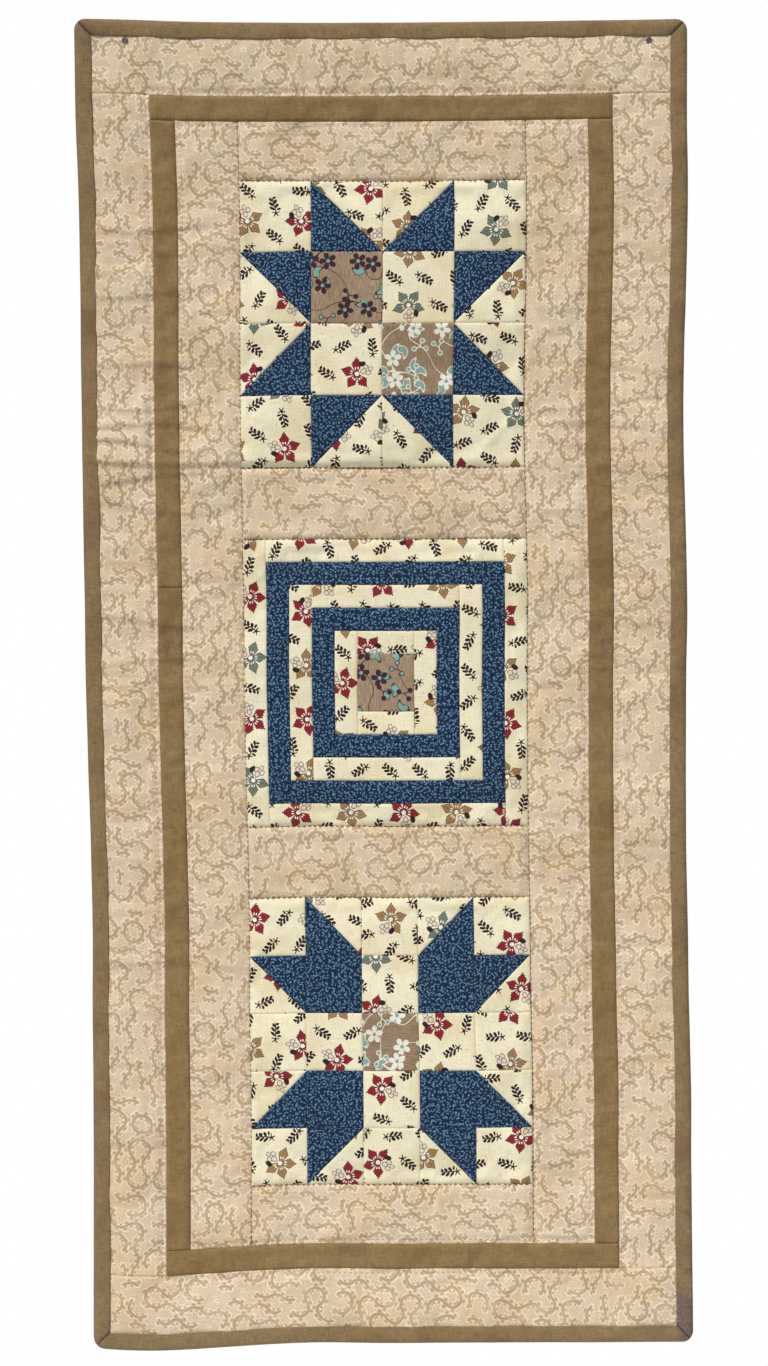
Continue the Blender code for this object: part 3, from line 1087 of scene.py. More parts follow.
@dataclass(frozen=True)
class SoftNoise:
    """Smooth seeded noise over the quilt: the size of its waves, and how high they stand."""

    seed: int
    across: float
    up: float
    height: float
    grid: int = 96

    def at(self, x: Numbers, z: Numbers) -> Numbers:
        """The noise at some places.

        Args:
            x, z: metres across and up the flat quilt.

        Returns:
            A number for each place, at most the height either way.
        """
        table = np.random.default_rng(self.seed).uniform(-1, 1, (self.grid, self.grid))
        u, v = x / self.across + self.grid / 2, z / self.up + self.grid / 2
        i, j = np.floor(u).astype(int), np.floor(v).astype(int)
        s, t = u - i, v - j
        s, t = s * s * (3 - 2 * s), t * t * (3 - 2 * t)
        i0, i1, j0, j1 = i % self.grid, (i + 1) % self.grid, j % self.grid, (j + 1) % self.grid
        low = table[i0, j0] * (1 - s) + table[i1, j0] * s
        high = table[i0, j1] * (1 - s) + table[i1, j1] * s
        return (low * (1 - t) + high * t) * self.height


@dataclass(frozen=True)
class Hang:
    """How the quilt hangs out of true: it leans, narrows, bows in at a fold and droops at one corner.

    A dip or belly is its depth, how far down the quilt it is, and its reach.
    """

    lines: Lines
    lean: float = 0.0036
    narrowing: float = 0.0033
    dips: tuple[Place, ...] = ((0.0030, 0.30, 0.12), (0.0029, 0.62, 0.20))
    bellies: tuple[Place, ...] = ((0.0030, 0.68, 0.24), (0.0014, 0.25, 0.15))
    sag: float = 0.0020
    droop: float = 0.0046
    droop_at: float = 0.11
    droop_reach: float = 0.17
    lift: float = 0.0026
    corner: float = 0.0065
    ripple: float = 0.0005

    def place(self, x: Numbers, z: Numbers) -> tuple[Numbers, Numbers]:
        """Where a point of the flat quilt hangs.

        Args:
            x, z: metres across and up the flat quilt.

        Returns:
            The point's place on the wall.
        """
        line = self.lines
        half = line.wide / 2
        x, z = self._round_corner(x, z, half, line.tall / 2)
        down = line.down(z)
        share = (x + half) / (2 * half)
        lean = self.lean * (2 * down - 1)
        left = -half + lean + self.narrowing * down
        right = half + lean - self.narrowing * down
        for depth, level, reach in self.bellies:
            left = left + depth * np.exp(-(((down - level) / reach) ** 2))
        for depth, level, reach in self.dips:
            right = right - depth * np.exp(-(((down - level) / reach) ** 2))
        wave = SoftNoise(5, 0.05, 0.045, self.ripple)
        left = left + wave.at(np.zeros_like(x), z)
        right = right + wave.at(np.full_like(x, 0.4), z)
        placed_x = left * (1 - share) + right * share
        top = line.top - self.sag * np.sin(np.pi * np.clip(share, 0, 1))
        drooping = np.exp(-(((share - self.droop_at) / self.droop_reach) ** 2))
        bottom = line.bottom + self.lift - self.droop * drooping
        bottom = bottom + wave.at(x + 0.9, np.zeros_like(z))
        top = top + wave.at(x - 0.9, np.zeros_like(z))
        return placed_x, bottom * down + top * (1 - down)

    def _round_corner(
        self, x: Numbers, z: Numbers, half: float, tall: float
    ) -> tuple[Numbers, Numbers]:
        """Draw the square corners in to quarter rounds.

        Args:
            x: metres across from the middle.
            z: metres up from the middle.
            half: half the quilt's width.
            tall: half its height.

        Returns:
            The places, those near a corner drawn in.
        """
        over_x = np.clip((np.abs(x) - (half - self.corner)) / self.corner, 0, None)
        over_z = np.clip((np.abs(z) - (tall - self.corner)) / self.corner, 0, None)
        length = np.hypot(over_x, over_z)
        square = np.maximum(over_x, over_z)
        scale = np.where((over_x > 0) & (over_z > 0), square / np.maximum(length, 1e-9), 1.0)
        pulled_x = np.sign(x) * (np.abs(x) - over_x * self.corner * (1 - scale))
        pulled_z = np.sign(z) * (np.abs(z) - over_z * self.corner * (1 - scale))
        return pulled_x, pulled_z


@dataclass(frozen=True)
class StitchLine:
    """A line that is stitched through: upright or level, its place, and its two ends."""

    upright: bool
    level: float
    start: float
    end: float


@dataclass
class Relief:
    """How far the quilt's face stands out: puffs between the stitched lines, and the marks of folding.

    The puffs come from a cloth simulation of the whole top, held down along its stitched lines.
    Folds are given by how far down the quilt they are; slopes by their reach above and below.
    """

    lines: Lines
    cell: float = 0.004
    frames: int = 20
    pressure: float = 1.2
    slack: float = 0.012
    most: float = 0.0032
    ditch: float = 0.0007
    ditch_width: float = 0.0016
    quilting_gap: float = 0.0024
    pin_dimple: float = 0.007
    crease_at: float = 0.334
    tuck: float = 0.00024
    tuck_reach: float = 0.0022
    pucker_reach: float = 0.006
    puckers: tuple[SoftNoise, ...] = (
        SoftNoise(11, 0.0042, 0.0042, 0.0002, 256),
        SoftNoise(12, 0.012, 0.007, 0.00042, 128),
    )
    waves: tuple[SoftNoise, ...] = (SoftNoise(13, 0.045, 0.016, 0.0009), SoftNoise(14, 0.12, 0.07, 0.0012))
    crease: float = 0.0027
    crease_slopes: Point = (0.011, 0.0022)
    ripple_slopes: Point = (0.0065, 0.0021)
    ripple_strength: float = 1.3
    ripples: tuple[Point, ...] = (
        (0.155, 0.0008), (0.205, 0.0009), (0.262, 0.0010), (0.288, 0.0011),
        (0.307, 0.0012), (0.319, 0.0013), (0.344, 0.0011), (0.366, 0.0009),
        (0.452, 0.0011), (0.483, 0.0009), (0.71, 0.0008),
    )
    puff: Numbers | None = None

    def stitch_lines(self) -> list[StitchLine]:
        """The lines beside the narrow frame and round the blocks."""
        line = self.lines
        found = []
        for (left, right, top, bottom), grow in (
            (line.frame_outer, self.quilting_gap),
            (line.frame_inner, -self.quilting_gap),
        ):
            left, right, top, bottom = left - grow, right + grow, top + grow, bottom - grow
            found += [StitchLine(True, x, bottom, top) for x in (left, right)]
            found += [StitchLine(False, z, left, right) for z in (top, bottom)]
        _left, _right, top, bottom = line.frame_inner
        found += [StitchLine(True, x, bottom, top) for x in (line.block_left, line.block_right)]
        for block_top in line.block_tops:
            for z in (block_top, block_top - line.block):
                found.append(StitchLine(False, z, line.block_left, line.block_right))
        return found

    def away(self, x: Numbers, z: Numbers) -> tuple[Numbers, Numbers]:
        """How far places are from the nearest stitched line.

        Args:
            x, z: metres across and up the flat quilt.

        Returns:
            The distance, and a wave along that line that is -1 at each stitch and 1 between two.
        """
        nearest, wave = np.full(x.shape, 1.0), np.zeros(x.shape)
        for line in self.stitch_lines():
            across, along = (x, z) if line.upright else (z, x)
            past = np.maximum(np.maximum(line.start - along, along - line.end), 0)
            distance = np.hypot(across - line.level, past)
            closer = distance < nearest
            nearest = np.where(closer, distance, nearest)
            wave = np.where(closer, np.cos(FULL_TURN * (along - line.start) / STITCH_PITCH), wave)
        return nearest, wave

    def simulate(self) -> None:
        line = self.lines
        columns, rows = round(line.wide / self.cell), round(line.tall / self.cell)
        sheet = add_grid("puff_guide", line.left, line.right, line.bottom, line.top, columns, rows)
        flat = read_points(sheet)
        away, _wave = self.away(flat[:, 0], flat[:, 2])
        edge = np.minimum(
            np.minimum(flat[:, 0] - line.left, line.right - flat[:, 0]),
            np.minimum(flat[:, 2] - line.bottom, line.top - flat[:, 2]),
        )
        away = np.minimum(away, edge)
        out = self._blow(sheet, away)
        order = np.lexsort((np.round(flat[:, 0], 6), np.round(flat[:, 2], 6)))
        self.puff = out[order].reshape(rows + 1, columns + 1)
        bpy.data.objects.remove(sheet)

    def _blow(self, sheet: Piece, away: Numbers) -> Numbers:
        """Run the cloth simulation.

        Args:
            sheet: the flat sheet, one face to a cell.
            away: how far each of its points is from what holds it down.

        Returns:
            How far each point came out.
        """
        held = sheet.vertex_groups.new(name="held")
        for index in np.nonzero(away < self.cell * 0.55)[0]:
            held.add([int(index)], 1.0, "REPLACE")
        modifier = sheet.modifiers.new("Cloth", "CLOTH")
        settings = modifier.settings
        settings.quality = 6
        settings.mass = 0.02
        settings.use_pressure = True
        settings.uniform_pressure_force = self.pressure
        settings.shrink_min = -self.slack
        settings.shrink_max = -self.slack
        settings.vertex_group_mass = "held"
        settings.effector_weights.gravity = 0.0
        settings.bending_stiffness = 0.2
        modifier.collision_settings.use_collision = False
        scene = bpy.context.scene
        for number in range(1, self.frames + 1):
            scene.frame_set(number)
        blown = read_points(sheet.evaluated_get(bpy.context.evaluated_depsgraph_get()))
        scene.frame_set(1)
        out = -blown[:, 1]
        LOG.info("puff came out by %.1f to %.1f mm", out.min() / MM, out.max() / MM)
        return self.most * np.tanh(out / self.most)

    def height(self, x: Numbers, z: Numbers) -> Numbers:
        """How far the face stands out at some places of the flat quilt.

        Args:
            x, z: metres across and up the flat quilt.

        Returns:
            Metres towards the front.
        """
        line = self.lines
        rows, columns = self.puff.shape
        u = np.clip((x - line.left) / line.wide * (columns - 1), 0, columns - 1.001)
        v = np.clip((z - line.bottom) / line.tall * (rows - 1), 0, rows - 1.001)
        i, j = u.astype(int), v.astype(int)
        s, t = u - i, v - j
        low = self.puff[j, i] * (1 - s) + self.puff[j, i + 1] * s
        high = self.puff[j + 1, i] * (1 - s) + self.puff[j + 1, i + 1] * s
        out = low * (1 - t) + high * t
        away, wave = self.away(x, z)
        out = out - self.ditch * np.exp(-((away / self.ditch_width) ** 2))
        out = out + self.tuck * wave * np.exp(-((away / self.tuck_reach) ** 2))
        pucker = sum(noise.at(x, z) for noise in self.puckers)
        out = out + pucker * (0.25 + np.exp(-away / self.pucker_reach))
        for noise in self.waves:
            out = out + noise.at(x, z)
        out = out + self.folds(x, z)
        for side in (Side.LEFT, Side.RIGHT):
            low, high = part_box(f"hanging_pin_{side.value}")
            from_pin = np.hypot(x - (low.x + high.x) / 2, z - (low.z + high.z) / 2)
            out = out * (1 - np.exp(-((from_pin / self.pin_dimple) ** 2)))
        return out

    @staticmethod
    def ridge(below: Numbers, slopes: Point) -> Numbers:
        """A ridge that rises slowly above its line and falls away quickly below it."""
        return np.exp(-((np.minimum(below, 0) / slopes[0]) ** 2) - (np.maximum(below, 0) / slopes[1]) ** 2)

    def folds(self, x: Numbers, z: Numbers) -> Numbers:
        """The creases left by folding: a broad one across, lesser ripples in the sides.

        Args:
            x, z: metres across and up the flat quilt.

        Returns:
            Metres towards the front.
        """
        line = self.lines
        down = line.down(z)
        sides = np.clip((np.abs(x) / line.right - 0.5) / 0.16, 0, 1)
        leftwards = np.clip(0.5 - x / line.right * 0.8, 0.3, 1)
        inward = np.clip((line.right - np.abs(x)) / 0.014, 0, 1)
        below = (down - self.crease_at - 0.003 * x / line.right - 0.0012 * np.sin(x / 0.03)) * line.tall
        crease = self.crease * self.ridge(below, self.crease_slopes)
        ripple = 0.0
        for level, height in self.ripples:
            below = (down - level - 0.0042 * np.sin(x / 0.019 + level * 140)) * line.tall
            ripple = ripple + self.ripple_strength * height * self.ridge(below, self.ripple_slopes)
        crease = crease * leftwards * (0.15 + 0.85 * inward)
        return crease + ripple * sides * inward * (0.4 + 0.6 * leftwards)


# Working with meshes


def deselect() -> None:
    """Select nothing, so that an operator acts only on what comes next."""
    if bpy.context.object and bpy.context.object.mode != "OBJECT":
        bpy.ops.object.mode_set(mode="OBJECT")
    bpy.ops.object.select_all(action="DESELECT")


def pick(piece: Piece) -> None:
    """Make a piece the only one selected, and the active one."""
    deselect()
    piece.select_set(True)
    bpy.context.view_layer.objects.active = piece


def add_grid(
    name: str, left: float, right: float, bottom: float, top: float, columns: int, rows: int
) -> Piece:
    """Add a grid that stands upright and faces the front.

    Args:
        name: the object's name.
        left: its lowest x.
        right: its highest x.
        bottom: its lowest z.
        top: its highest z.
        columns: faces across.
        rows: faces up.

    Returns:
        The grid, its place in its mesh.
    """
    deselect()
    middle = ((left + right) / 2, 0.0, (bottom + top) / 2)
    bpy.ops.mesh.primitive_grid_add(
        x_subdivisions=columns,
        y_subdivisions=rows,
        size=1.0,
        location=middle,
        rotation=(math.pi / 2, 0.0, 0.0),
    )
    made = bpy.context.object
    made.scale = (right - left, top - bottom, 1.0)
    bpy.ops.object.transform_apply(location=True, rotation=True, scale=True)
    made.name = name
    made.data.name = name
    return made


def read_points(piece: Piece) -> Numbers:
    """A mesh's points as rows of x, y, z."""
    points = np.zeros(len(piece.data.vertices) * 3, np.float32)
    piece.data.vertices.foreach_get("co", points)
    return points.reshape(-1, 3).astype(float)


def write_points(piece: Piece, points: Numbers) -> None:
    """Put moved points back into a mesh."""
    piece.data.vertices.foreach_set("co", points.astype(np.float32).ravel())
    piece.data.update()


def map_cloth(piece: Piece, across: Numbers, along: Numbers) -> None:
    """Give a mesh its cloth map, in metres of cloth, from two numbers for each point."""
    layer = piece.data.uv_layers.get(CLOTH_MAP) or piece.data.uv_layers.new(name=CLOTH_MAP)
    corners = np.zeros(len(piece.data.loops), int)
    piece.data.loops.foreach_get("vertex_index", corners)
    flat = np.stack([across[corners], along[corners]], axis=1)
    layer.data.foreach_set("uv", flat.astype(np.float32).ravel())
    for other in [item for item in piece.data.uv_layers if item.name != CLOTH_MAP]:
        piece.data.uv_layers.remove(other)


def mark_wear(piece: Piece, amount: Numbers) -> None:
    """Give a mesh its wear attribute, from 0 to 1 for each point."""
    layer = piece.data.attributes.new(WEAR_MAP, "FLOAT", "POINT")
    layer.data.foreach_set("value", amount.astype(np.float32))


def thicken(piece: Piece, thickness: float) -> None:
    """Give an open sheet its cloth's thickness, away from its face, and smooth its shading."""
    pick(piece)
    modifier = piece.modifiers.new("Thickness", "SOLIDIFY")
    modifier.thickness = thickness
    modifier.offset = -1.0
    bpy.ops.object.modifier_apply(modifier=modifier.name)
    bpy.ops.object.shade_smooth()


def extent(outline: list[Point]) -> Edges:
    """An outline's left, right, top and bottom."""
    xs, zs = [corner[0] for corner in outline], [corner[1] for corner in outline]
    return min(xs), max(xs), max(zs), min(zs)


def runs(outline: list[Point]) -> list[tuple[Point, Point]]:
    """Each side of an outline, from corner to corner."""
    return list(zip(outline, outline[1:] + outline[:1]))


def cut_patch(name: str, outline: list[Point], spacing: Point, turned: float) -> Piece:
    """Cut a flat patch to a convex outline, with close rows along its seams and its edges turned down.

    Args:
        name: the piece's name.
        outline: its corners as (x, z), clockwise as seen from the front.
        spacing: the size of its faces, across and up.
        turned: how far its edges go down into the seam.

    Returns:
        The patch, upright at y = 0 with its face to the front.
    """
    left, right, top, bottom = extent(outline)
    columns = max(2, round((right - left) / spacing[0]))
    rows = max(2, round((top - bottom) / spacing[1]))
    made = add_grid(name, left, right, bottom, top, columns, rows)
    bpy.ops.object.mode_set(mode="EDIT")
    for start, end in runs(outline):
        run = Vector((end[0] - start[0], 0.0, end[1] - start[1])).normalized()
        outwards = Vector((-run.z, 0.0, run.x))
        slanted = min(abs(run.x), abs(run.z)) > 1e-4
        for inset in SEAM_ROWS:
            if inset == 0.0 and not slanted:
                continue
            level = Vector((start[0], 0.0, start[1])) - outwards * inset
            bpy.ops.mesh.select_all(action="SELECT")
            bpy.ops.mesh.bisect(
                plane_co=level, plane_no=outwards, clear_outer=inset == 0.0, threshold=1e-6
            )
    bpy.ops.mesh.select_all(action="SELECT")
    bpy.ops.mesh.remove_doubles(threshold=0.00002)
    bpy.ops.mesh.select_all(action="SELECT")
    bpy.ops.mesh.region_to_loop()
    bpy.ops.mesh.extrude_region_move(TRANSFORM_OT_translate={"value": (0.0, turned, 0.0)})
    bpy.ops.object.mode_set(mode="OBJECT")
    return made


# The pieces of the quilt


@dataclass
class Workroom:
    """What every sub-assembly shares: the lines, the hang, the relief and the finishes."""

    lines: Lines
    hang: Hang
    relief: Relief
    wardrobe: Wardrobe
    spacing: float = 0.00135
    turned: float = 0.0008
    thickness: float = 0.00035
    seam_drop: float = 0.00055
    seam_reach: float = 0.0017

    def lay(self, flat: Numbers, out: Numbers, base: float) -> Numbers:
        """Place flat points on the hung quilt.

        Args:
            flat: rows of x, y, z on the flat quilt, where y is the depth under the face.
            out: how far each stands out of the face.
            base: the y of the flat face.

        Returns:
            The points where they hang.
        """
        x, z = self.hang.place(flat[:, 0], flat[:, 2])
        y = base + flat[:, 1] - out
        return np.stack([x, y, z], axis=1)

    def own(self, piece: Piece, cloth: Cloth, nodes: tuple[str, ...]) -> Piece:
        """Dress a finished piece, put it on the root body and hide the CAD nodes that it stands for.

        Args:
            piece: the piece.
            cloth: what it is made of.
            nodes: the CAD nodes that it stands for.

        Returns:
            The same piece.
        """
        self.wardrobe.dress(piece, cloth)
        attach(piece, ROOT)
        if nodes:
            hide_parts(*nodes)
        return piece


@dataclass
class Patch:
    """One cloth patch of the quilt's face."""

    name: str
    node: str
    cloth: Cloth
    outline: list[Point]
    grain: float = 0.0
    cut_at: Point = (0.0, 0.0)
    pressed_up: float = 0.0
    spacing: Point | None = None

    def build(self, room: Workroom) -> Piece:
        """Cut the patch, turn its edges under, lay it on the relief and dress it.

        Args:
            room: what the sub-assemblies share.

        Returns:
            The finished patch.
        """
        made = cut_patch(self.name, self.outline, self.spacing or (room.spacing, room.spacing), room.turned)
        flat = read_points(made)
        x, depth, z = flat[:, 0], flat[:, 1], flat[:, 2]
        cosine, sine = math.cos(self.grain), math.sin(self.grain)
        across = x * cosine + z * sine + self.cut_at[0] + depth * 0.5
        along = -x * sine + z * cosine + self.cut_at[1] + depth * 0.5
        map_cloth(made, across, along)
        if self.cloth is Cloth.FRAME:
            mark_wear(made, self.rubbed(room.lines.down(z)))
        rounding = np.clip(1 - self.from_edge(x, z) / room.seam_reach, 0, 1) ** 2
        out = room.relief.height(x, z) - room.seam_drop * rounding
        out = out + self.pressed_up * (1 - rounding)
        write_points(made, room.lay(flat, out, room.lines.front))
        thicken(made, room.thickness)
        room.own(made, self.cloth, (self.node,))
        left, right, top, bottom = extent(self.outline)
        size = (right - left, top - bottom)
        self.area()
        LOG.info("%s, %.1f x %.1f mm", self.name, size[0] / MM, size[1] / MM)
        return made

    @staticmethod
    def rubbed(down: Numbers) -> Numbers:
        """Wear of the narrow frame: a little all over, and a rubbed place about half-way down."""
        return 0.3 * np.exp(-(((down - 0.47) / 0.03) ** 2)) + 0.12

    def from_edge(self, x: Numbers, z: Numbers) -> Numbers:
        """How far inside the outline places are.

        Args:
            x, z: metres across and up the flat quilt.

        Returns:
            Metres, nought on the outline and outside it.
        """
        nearest = np.full(x.shape, 1.0)
        for start, end in runs(self.outline):
            run = np.array([end[0] - start[0], end[1] - start[1]])
            run = run / np.hypot(*run)
            inside = (x - start[0]) * run[1] - (z - start[1]) * run[0]
            nearest = np.minimum(nearest, inside)
        return np.maximum(nearest, 0)

    def area(self) -> float:
        """The flat outline's area."""
        return abs(sum(start[0] * end[1] - end[0] * start[1] for start, end in runs(self.outline))) / 2


def oblong(left: float, right: float, bottom: float, top: float) -> list[Point]:
    """A rectangle's corners, clockwise from its top left."""
    return [(left, top), (right, top), (right, bottom), (left, bottom)]


@dataclass
class PatchSet:
    """A sub-assembly sewn from patches. Each takes its cut of the cloth from a seeded draw."""

    room: Workroom
    seed: int = 1
    patches: list[Patch] = field(default_factory=list)

    def __post_init__(self) -> None:
        """Start the draw."""
        self.draw = np.random.default_rng(self.seed)

    def add(
        self,
        name: str,
        node: str,
        cloth: Cloth,
        outline: list[Point],
        grain: float | None = None,
        up: float = 0.0,
    ) -> None:
        """Plan a patch.

        Args:
            name: the piece's name.
            node: the CAD node that it stands for.
            cloth: what it is cut from.
            outline: its corners, clockwise.
            grain: the angle of its grain, or none for a quarter turn of the draw's own.
            up: how far it is pressed up by what lies under it.
        """
        quarter = float(self.draw.integers(0, 4)) * math.pi / 2 if grain is None else grain
        turned = quarter + float(self.draw.normal(0, 0.02))
        cut = self.draw.uniform(0.2, 0.9, 2)
        self.patches.append(Patch(name, node, cloth, outline, turned, (float(cut[0]), float(cut[1])), up))

    def build(self) -> list[Piece]:
        """Build every planned patch."""
        return [patch.build(self.room) for patch in self.patches]


@dataclass
class Block(PatchSet):
    """A square block on a grid of cells, whose quarter is sewn four times round its middle."""

    top: float = 0.0
    cells: int = 4

    def outline(self, points: list[Point], turns: int) -> list[Point]:
        """Place an outline on the quilt.

        Args:
            points: its corners in cells, across and down from the block's top left.
            turns: quarter turns round the block's middle.

        Returns:
            The corners in metres.
        """
        line = self.room.lines
        size = line.block / self.cells
        placed = []
        for across, down in points:
            for _turn in range(turns):
                across, down = self.cells - down, across
            placed.append((line.block_left + across * size, self.top - down * size))
        return placed

    def quarter(self, stem: str, node: str, places: type[Enum], cloth: Cloth, points: list[Point]) -> None:
        """Plan one patch of the quarter four times.

        Args:
            stem: the pieces' names without their places.
            node: the CAD nodes' names without their places.
            places: the sides or the corners.
            cloth: what they are cut from.
            points: the first one's corners in cells.
        """
        up = DARK_LIFT if cloth is Cloth.LEAF else 0.0
        for turns, place in enumerate(places):
            outline = self.outline(points, turns)
            self.add(f"{stem}_{place.value}", f"{node}_{place.value}", cloth, outline, up=up)


@dataclass
class StarBlock(Block):
    """Eight navy points round a four-patch centre, with cream corners and between-triangles."""

    cells: int = 4

    def plan(self) -> "StarBlock":
        """Plan the 24 patches."""
        for stem, node, places, cloth, points in (
            ("corner_patch", "corner", Corner, Cloth.SPRIG, [(0, 0), (1, 0), (1, 1), (0, 1)]),
            ("point_patch_first", "point_first", Side, Cloth.LEAF, [(1, 0), (2, 1), (1, 1)]),
            ("point_patch_second", "point_second", Side, Cloth.LEAF, [(3, 0), (3, 1), (2, 1)]),
            ("between_first", "between", Side, Cloth.SPRIG, [(1, 0), (2, 0), (2, 1)]),
            ("between_second", "between", Side, Cloth.SPRIG, [(2, 0), (3, 0), (2, 1)]),
        ):
            self.quarter(f"star_{stem}", f"star_{node}", places, cloth, points)
        centre = (
            ("upper_left", "upper", 1, 1, Cloth.FLORAL_DARK),
            ("upper_right", "upper", 2, 1, Cloth.SPRIG),
            ("lower_left", "lower", 1, 2, Cloth.SPRIG),
            ("lower_right", "lower", 2, 2, Cloth.FLORAL_PALE),
        )
        for place, half, across, down, cloth in centre:
            points = [(across, down), (across + 1, down), (across + 1, down + 1), (across, down + 1)]
            self.add(f"star_centre_{place}", f"star_centre_{half}_pair", cloth, self.outline(points, 0))
        return self


@dataclass
class StepsBlock(Block):
    """A centre square and five rounds of logs, cream and navy by turns."""

    cells: int = 1
    rounds: int = 5

    def plan(self) -> "StepsBlock":
        """Plan the 21 patches: each round has two uprights at full height and two level logs between."""
        line = self.room.lines
        middle_x = (line.block_left + line.block_right) / 2
        middle_z = self.top - line.block / 2
        low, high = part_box("steps_centre")
        half = (high.x - low.x + SEAM_GAP) / 2
        log = (line.block / 2 - half) / self.rounds
        centre = oblong(middle_x - half, middle_x + half, middle_z - half, middle_z + half)
        self.add("steps_centre_square", "steps_centre", Cloth.FLORAL_DARK, centre)
        for number in range(1, self.rounds + 1):
            inner, outer = half + (number - 1) * log, half + number * log
            cloth = Cloth.SPRIG if number % 2 else Cloth.LEAF
            up = 0.0 if number % 2 else DARK_LIFT
            logs = (
                ("top", oblong(middle_x - inner, middle_x + inner, middle_z + inner, middle_z + outer)),
                ("right", oblong(middle_x + inner, middle_x + outer, middle_z - outer, middle_z + outer)),
                ("bottom", oblong(middle_x - inner, middle_x + inner, middle_z - outer, middle_z - inner)),
                ("left", oblong(middle_x - outer, middle_x - inner, middle_z - outer, middle_z + outer)),
            )
            for side, outline in logs:
                self.add(f"steps_log_{number}_{side}", f"steps_round_{number}", cloth, outline, up=up)
        return self


@dataclass
class ArrowBlock(Block):
    """Four navy arrowheads that point to the corners, cream arms between them and a brown centre."""

    cells: int = 5

    def plan(self) -> "ArrowBlock":
        """Plan the 33 patches."""
        for stem, node, places, cloth, points in (
            ("corner_patch", "corner", Corner, Cloth.SPRIG, [(0, 0), (1, 0), (1, 1), (0, 1)]),
            ("head_square", "head", Corner, Cloth.LEAF, [(1, 1), (2, 1), (2, 2), (1, 2)]),
            ("head_upper", "head", Corner, Cloth.LEAF, [(1, 0), (2, 1), (1, 1)]),
            ("head_outer", "head", Corner, Cloth.LEAF, [(0, 1), (1, 1), (1, 2)]),
            ("arm_first", "arm", Side, Cloth.SPRIG, [(1, 0), (2, 0), (2, 1)]),
            ("arm_middle", "arm", Side, Cloth.SPRIG, [(2, 0), (3, 0), (3, 1), (2, 1)]),
            ("arm_second", "arm", Side, Cloth.SPRIG, [(3, 0), (4, 0), (3, 1)]),
            ("arm_inner", "arm", Side, Cloth.SPRIG, [(2, 1), (3, 1), (3, 2), (2, 2)]),
        ):
            self.quarter(f"arrow_{stem}", f"arrow_{node}", places, cloth, points)
        centre = self.outline([(2, 2), (3, 2), (3, 3), (2, 3)], 0)
        self.add("arrow_centre_square", "arrow_centre", Cloth.FLORAL_PALE, centre)
        return self


@dataclass
class Strips(PatchSet):
    """The long strips round the blocks: sashes, the narrow frame and the outer border."""

    close: float = 0.0008
    under_binding: float = 0.0015

    def plan(self) -> "Strips":
        """Plan the strips from the boxes of the CAD nodes that they stand for."""
        upright, level = math.pi / 2, 0.0
        for side in Side:
            self.strip(f"border_{side.value}", Cloth.VINE, level if side.level else upright)
        for name in ("top", "bottom", "right", "left_upper", "left_lower"):
            grain = upright if name in ("top", "bottom") else level
            self.strip(f"frame_{name}", Cloth.FRAME, grain, 2 * DARK_LIFT)
        for side in (Side.LEFT, Side.RIGHT):
            self.strip(f"sash_{side.value}", Cloth.VINE, upright)
        for number in range(1, 5):
            self.strip(f"sash_cross_{number}", Cloth.VINE, level)
        return self

    def strip(self, node: str, cloth: Cloth, grain: float, up: float = 0.0) -> None:
        """Plan one strip, grown by half a seam so that it meets its neighbours.

        Args:
            node: the CAD node that it stands for.
            cloth: what it is cut from.
            grain: the angle of its grain.
            up: how far it is pressed up by what lies under it.
        """
        low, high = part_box(node)
        grow, tuck = SEAM_GAP / 2, self.under_binding
        sides = [low.x - grow, high.x + grow, low.z - grow, high.z + grow]
        if node.startswith("border"):
            left, right, top, bottom = self.room.lines.binding_inner
            sides[0], sides[1] = max(sides[0], left - tuck), min(sides[1], right + tuck)
            sides[2], sides[3] = max(sides[2], bottom - tuck), min(sides[3], top + tuck)
        self.add(f"{node}_strip", node, cloth, oblong(*sides), grain, up)
        if cloth is Cloth.VINE:
            level = sides[1] - sides[0] > sides[3] - sides[2]
            wide, close = self.room.spacing, self.close
            self.patches[-1].spacing = (close, wide) if level else (wide, close)


@dataclass(frozen=True)
class BindingSection:
    """The binding strip's section: from its front inner edge, over the rolled edge, to its back inner edge.

    Places are (distance in from the quilt's outer edge, y).
    """

    width: float
    front: float = -0.0074
    back: float = 0.0
    roll: float = 0.0034
    steps: int = 10
    squareness: float = 2.4

    def points(self) -> list[Point]:
        """The section's points in order along the cloth."""
        width = self.width
        under_front, under_back = self.front + 0.0013, self.back - 0.0009
        found = [
            (width, under_front),
            (width + 0.0001, self.front + 0.0009),
            (width - 0.0001, self.front + 0.00055),
            (width - 0.0006, self.front + 0.0003),
            (width - 0.002, self.front + 0.0001),
            (width - 0.004, self.front - 0.0001),
        ]
        middle, half = (self.front + self.back) / 2, (self.back - self.front) / 2
        for step in range(self.steps + 1):
            angle = math.pi * step / self.steps
            inwards = math.copysign(abs(math.sin(angle)) ** (2 / self.squareness), math.sin(angle))
            depth = math.copysign(abs(math.cos(angle)) ** (2 / self.squareness), math.cos(angle))
            found.append((self.roll * (1 - inwards), middle - half * depth))
        found += [
            (width - 0.004, self.back),
            (width - 0.0012, self.back - 0.0001),
            (width - 0.0002, self.back - 0.0003),
            (width, under_back),
        ]
        return found

    def walked(self) -> list[float]:
        """How far along the cloth each point is."""
        points = self.points()
        total = [0.0]
        for start, end in zip(points, points[1:]):
            total.append(total[-1] + math.dist(start, end))
        return total


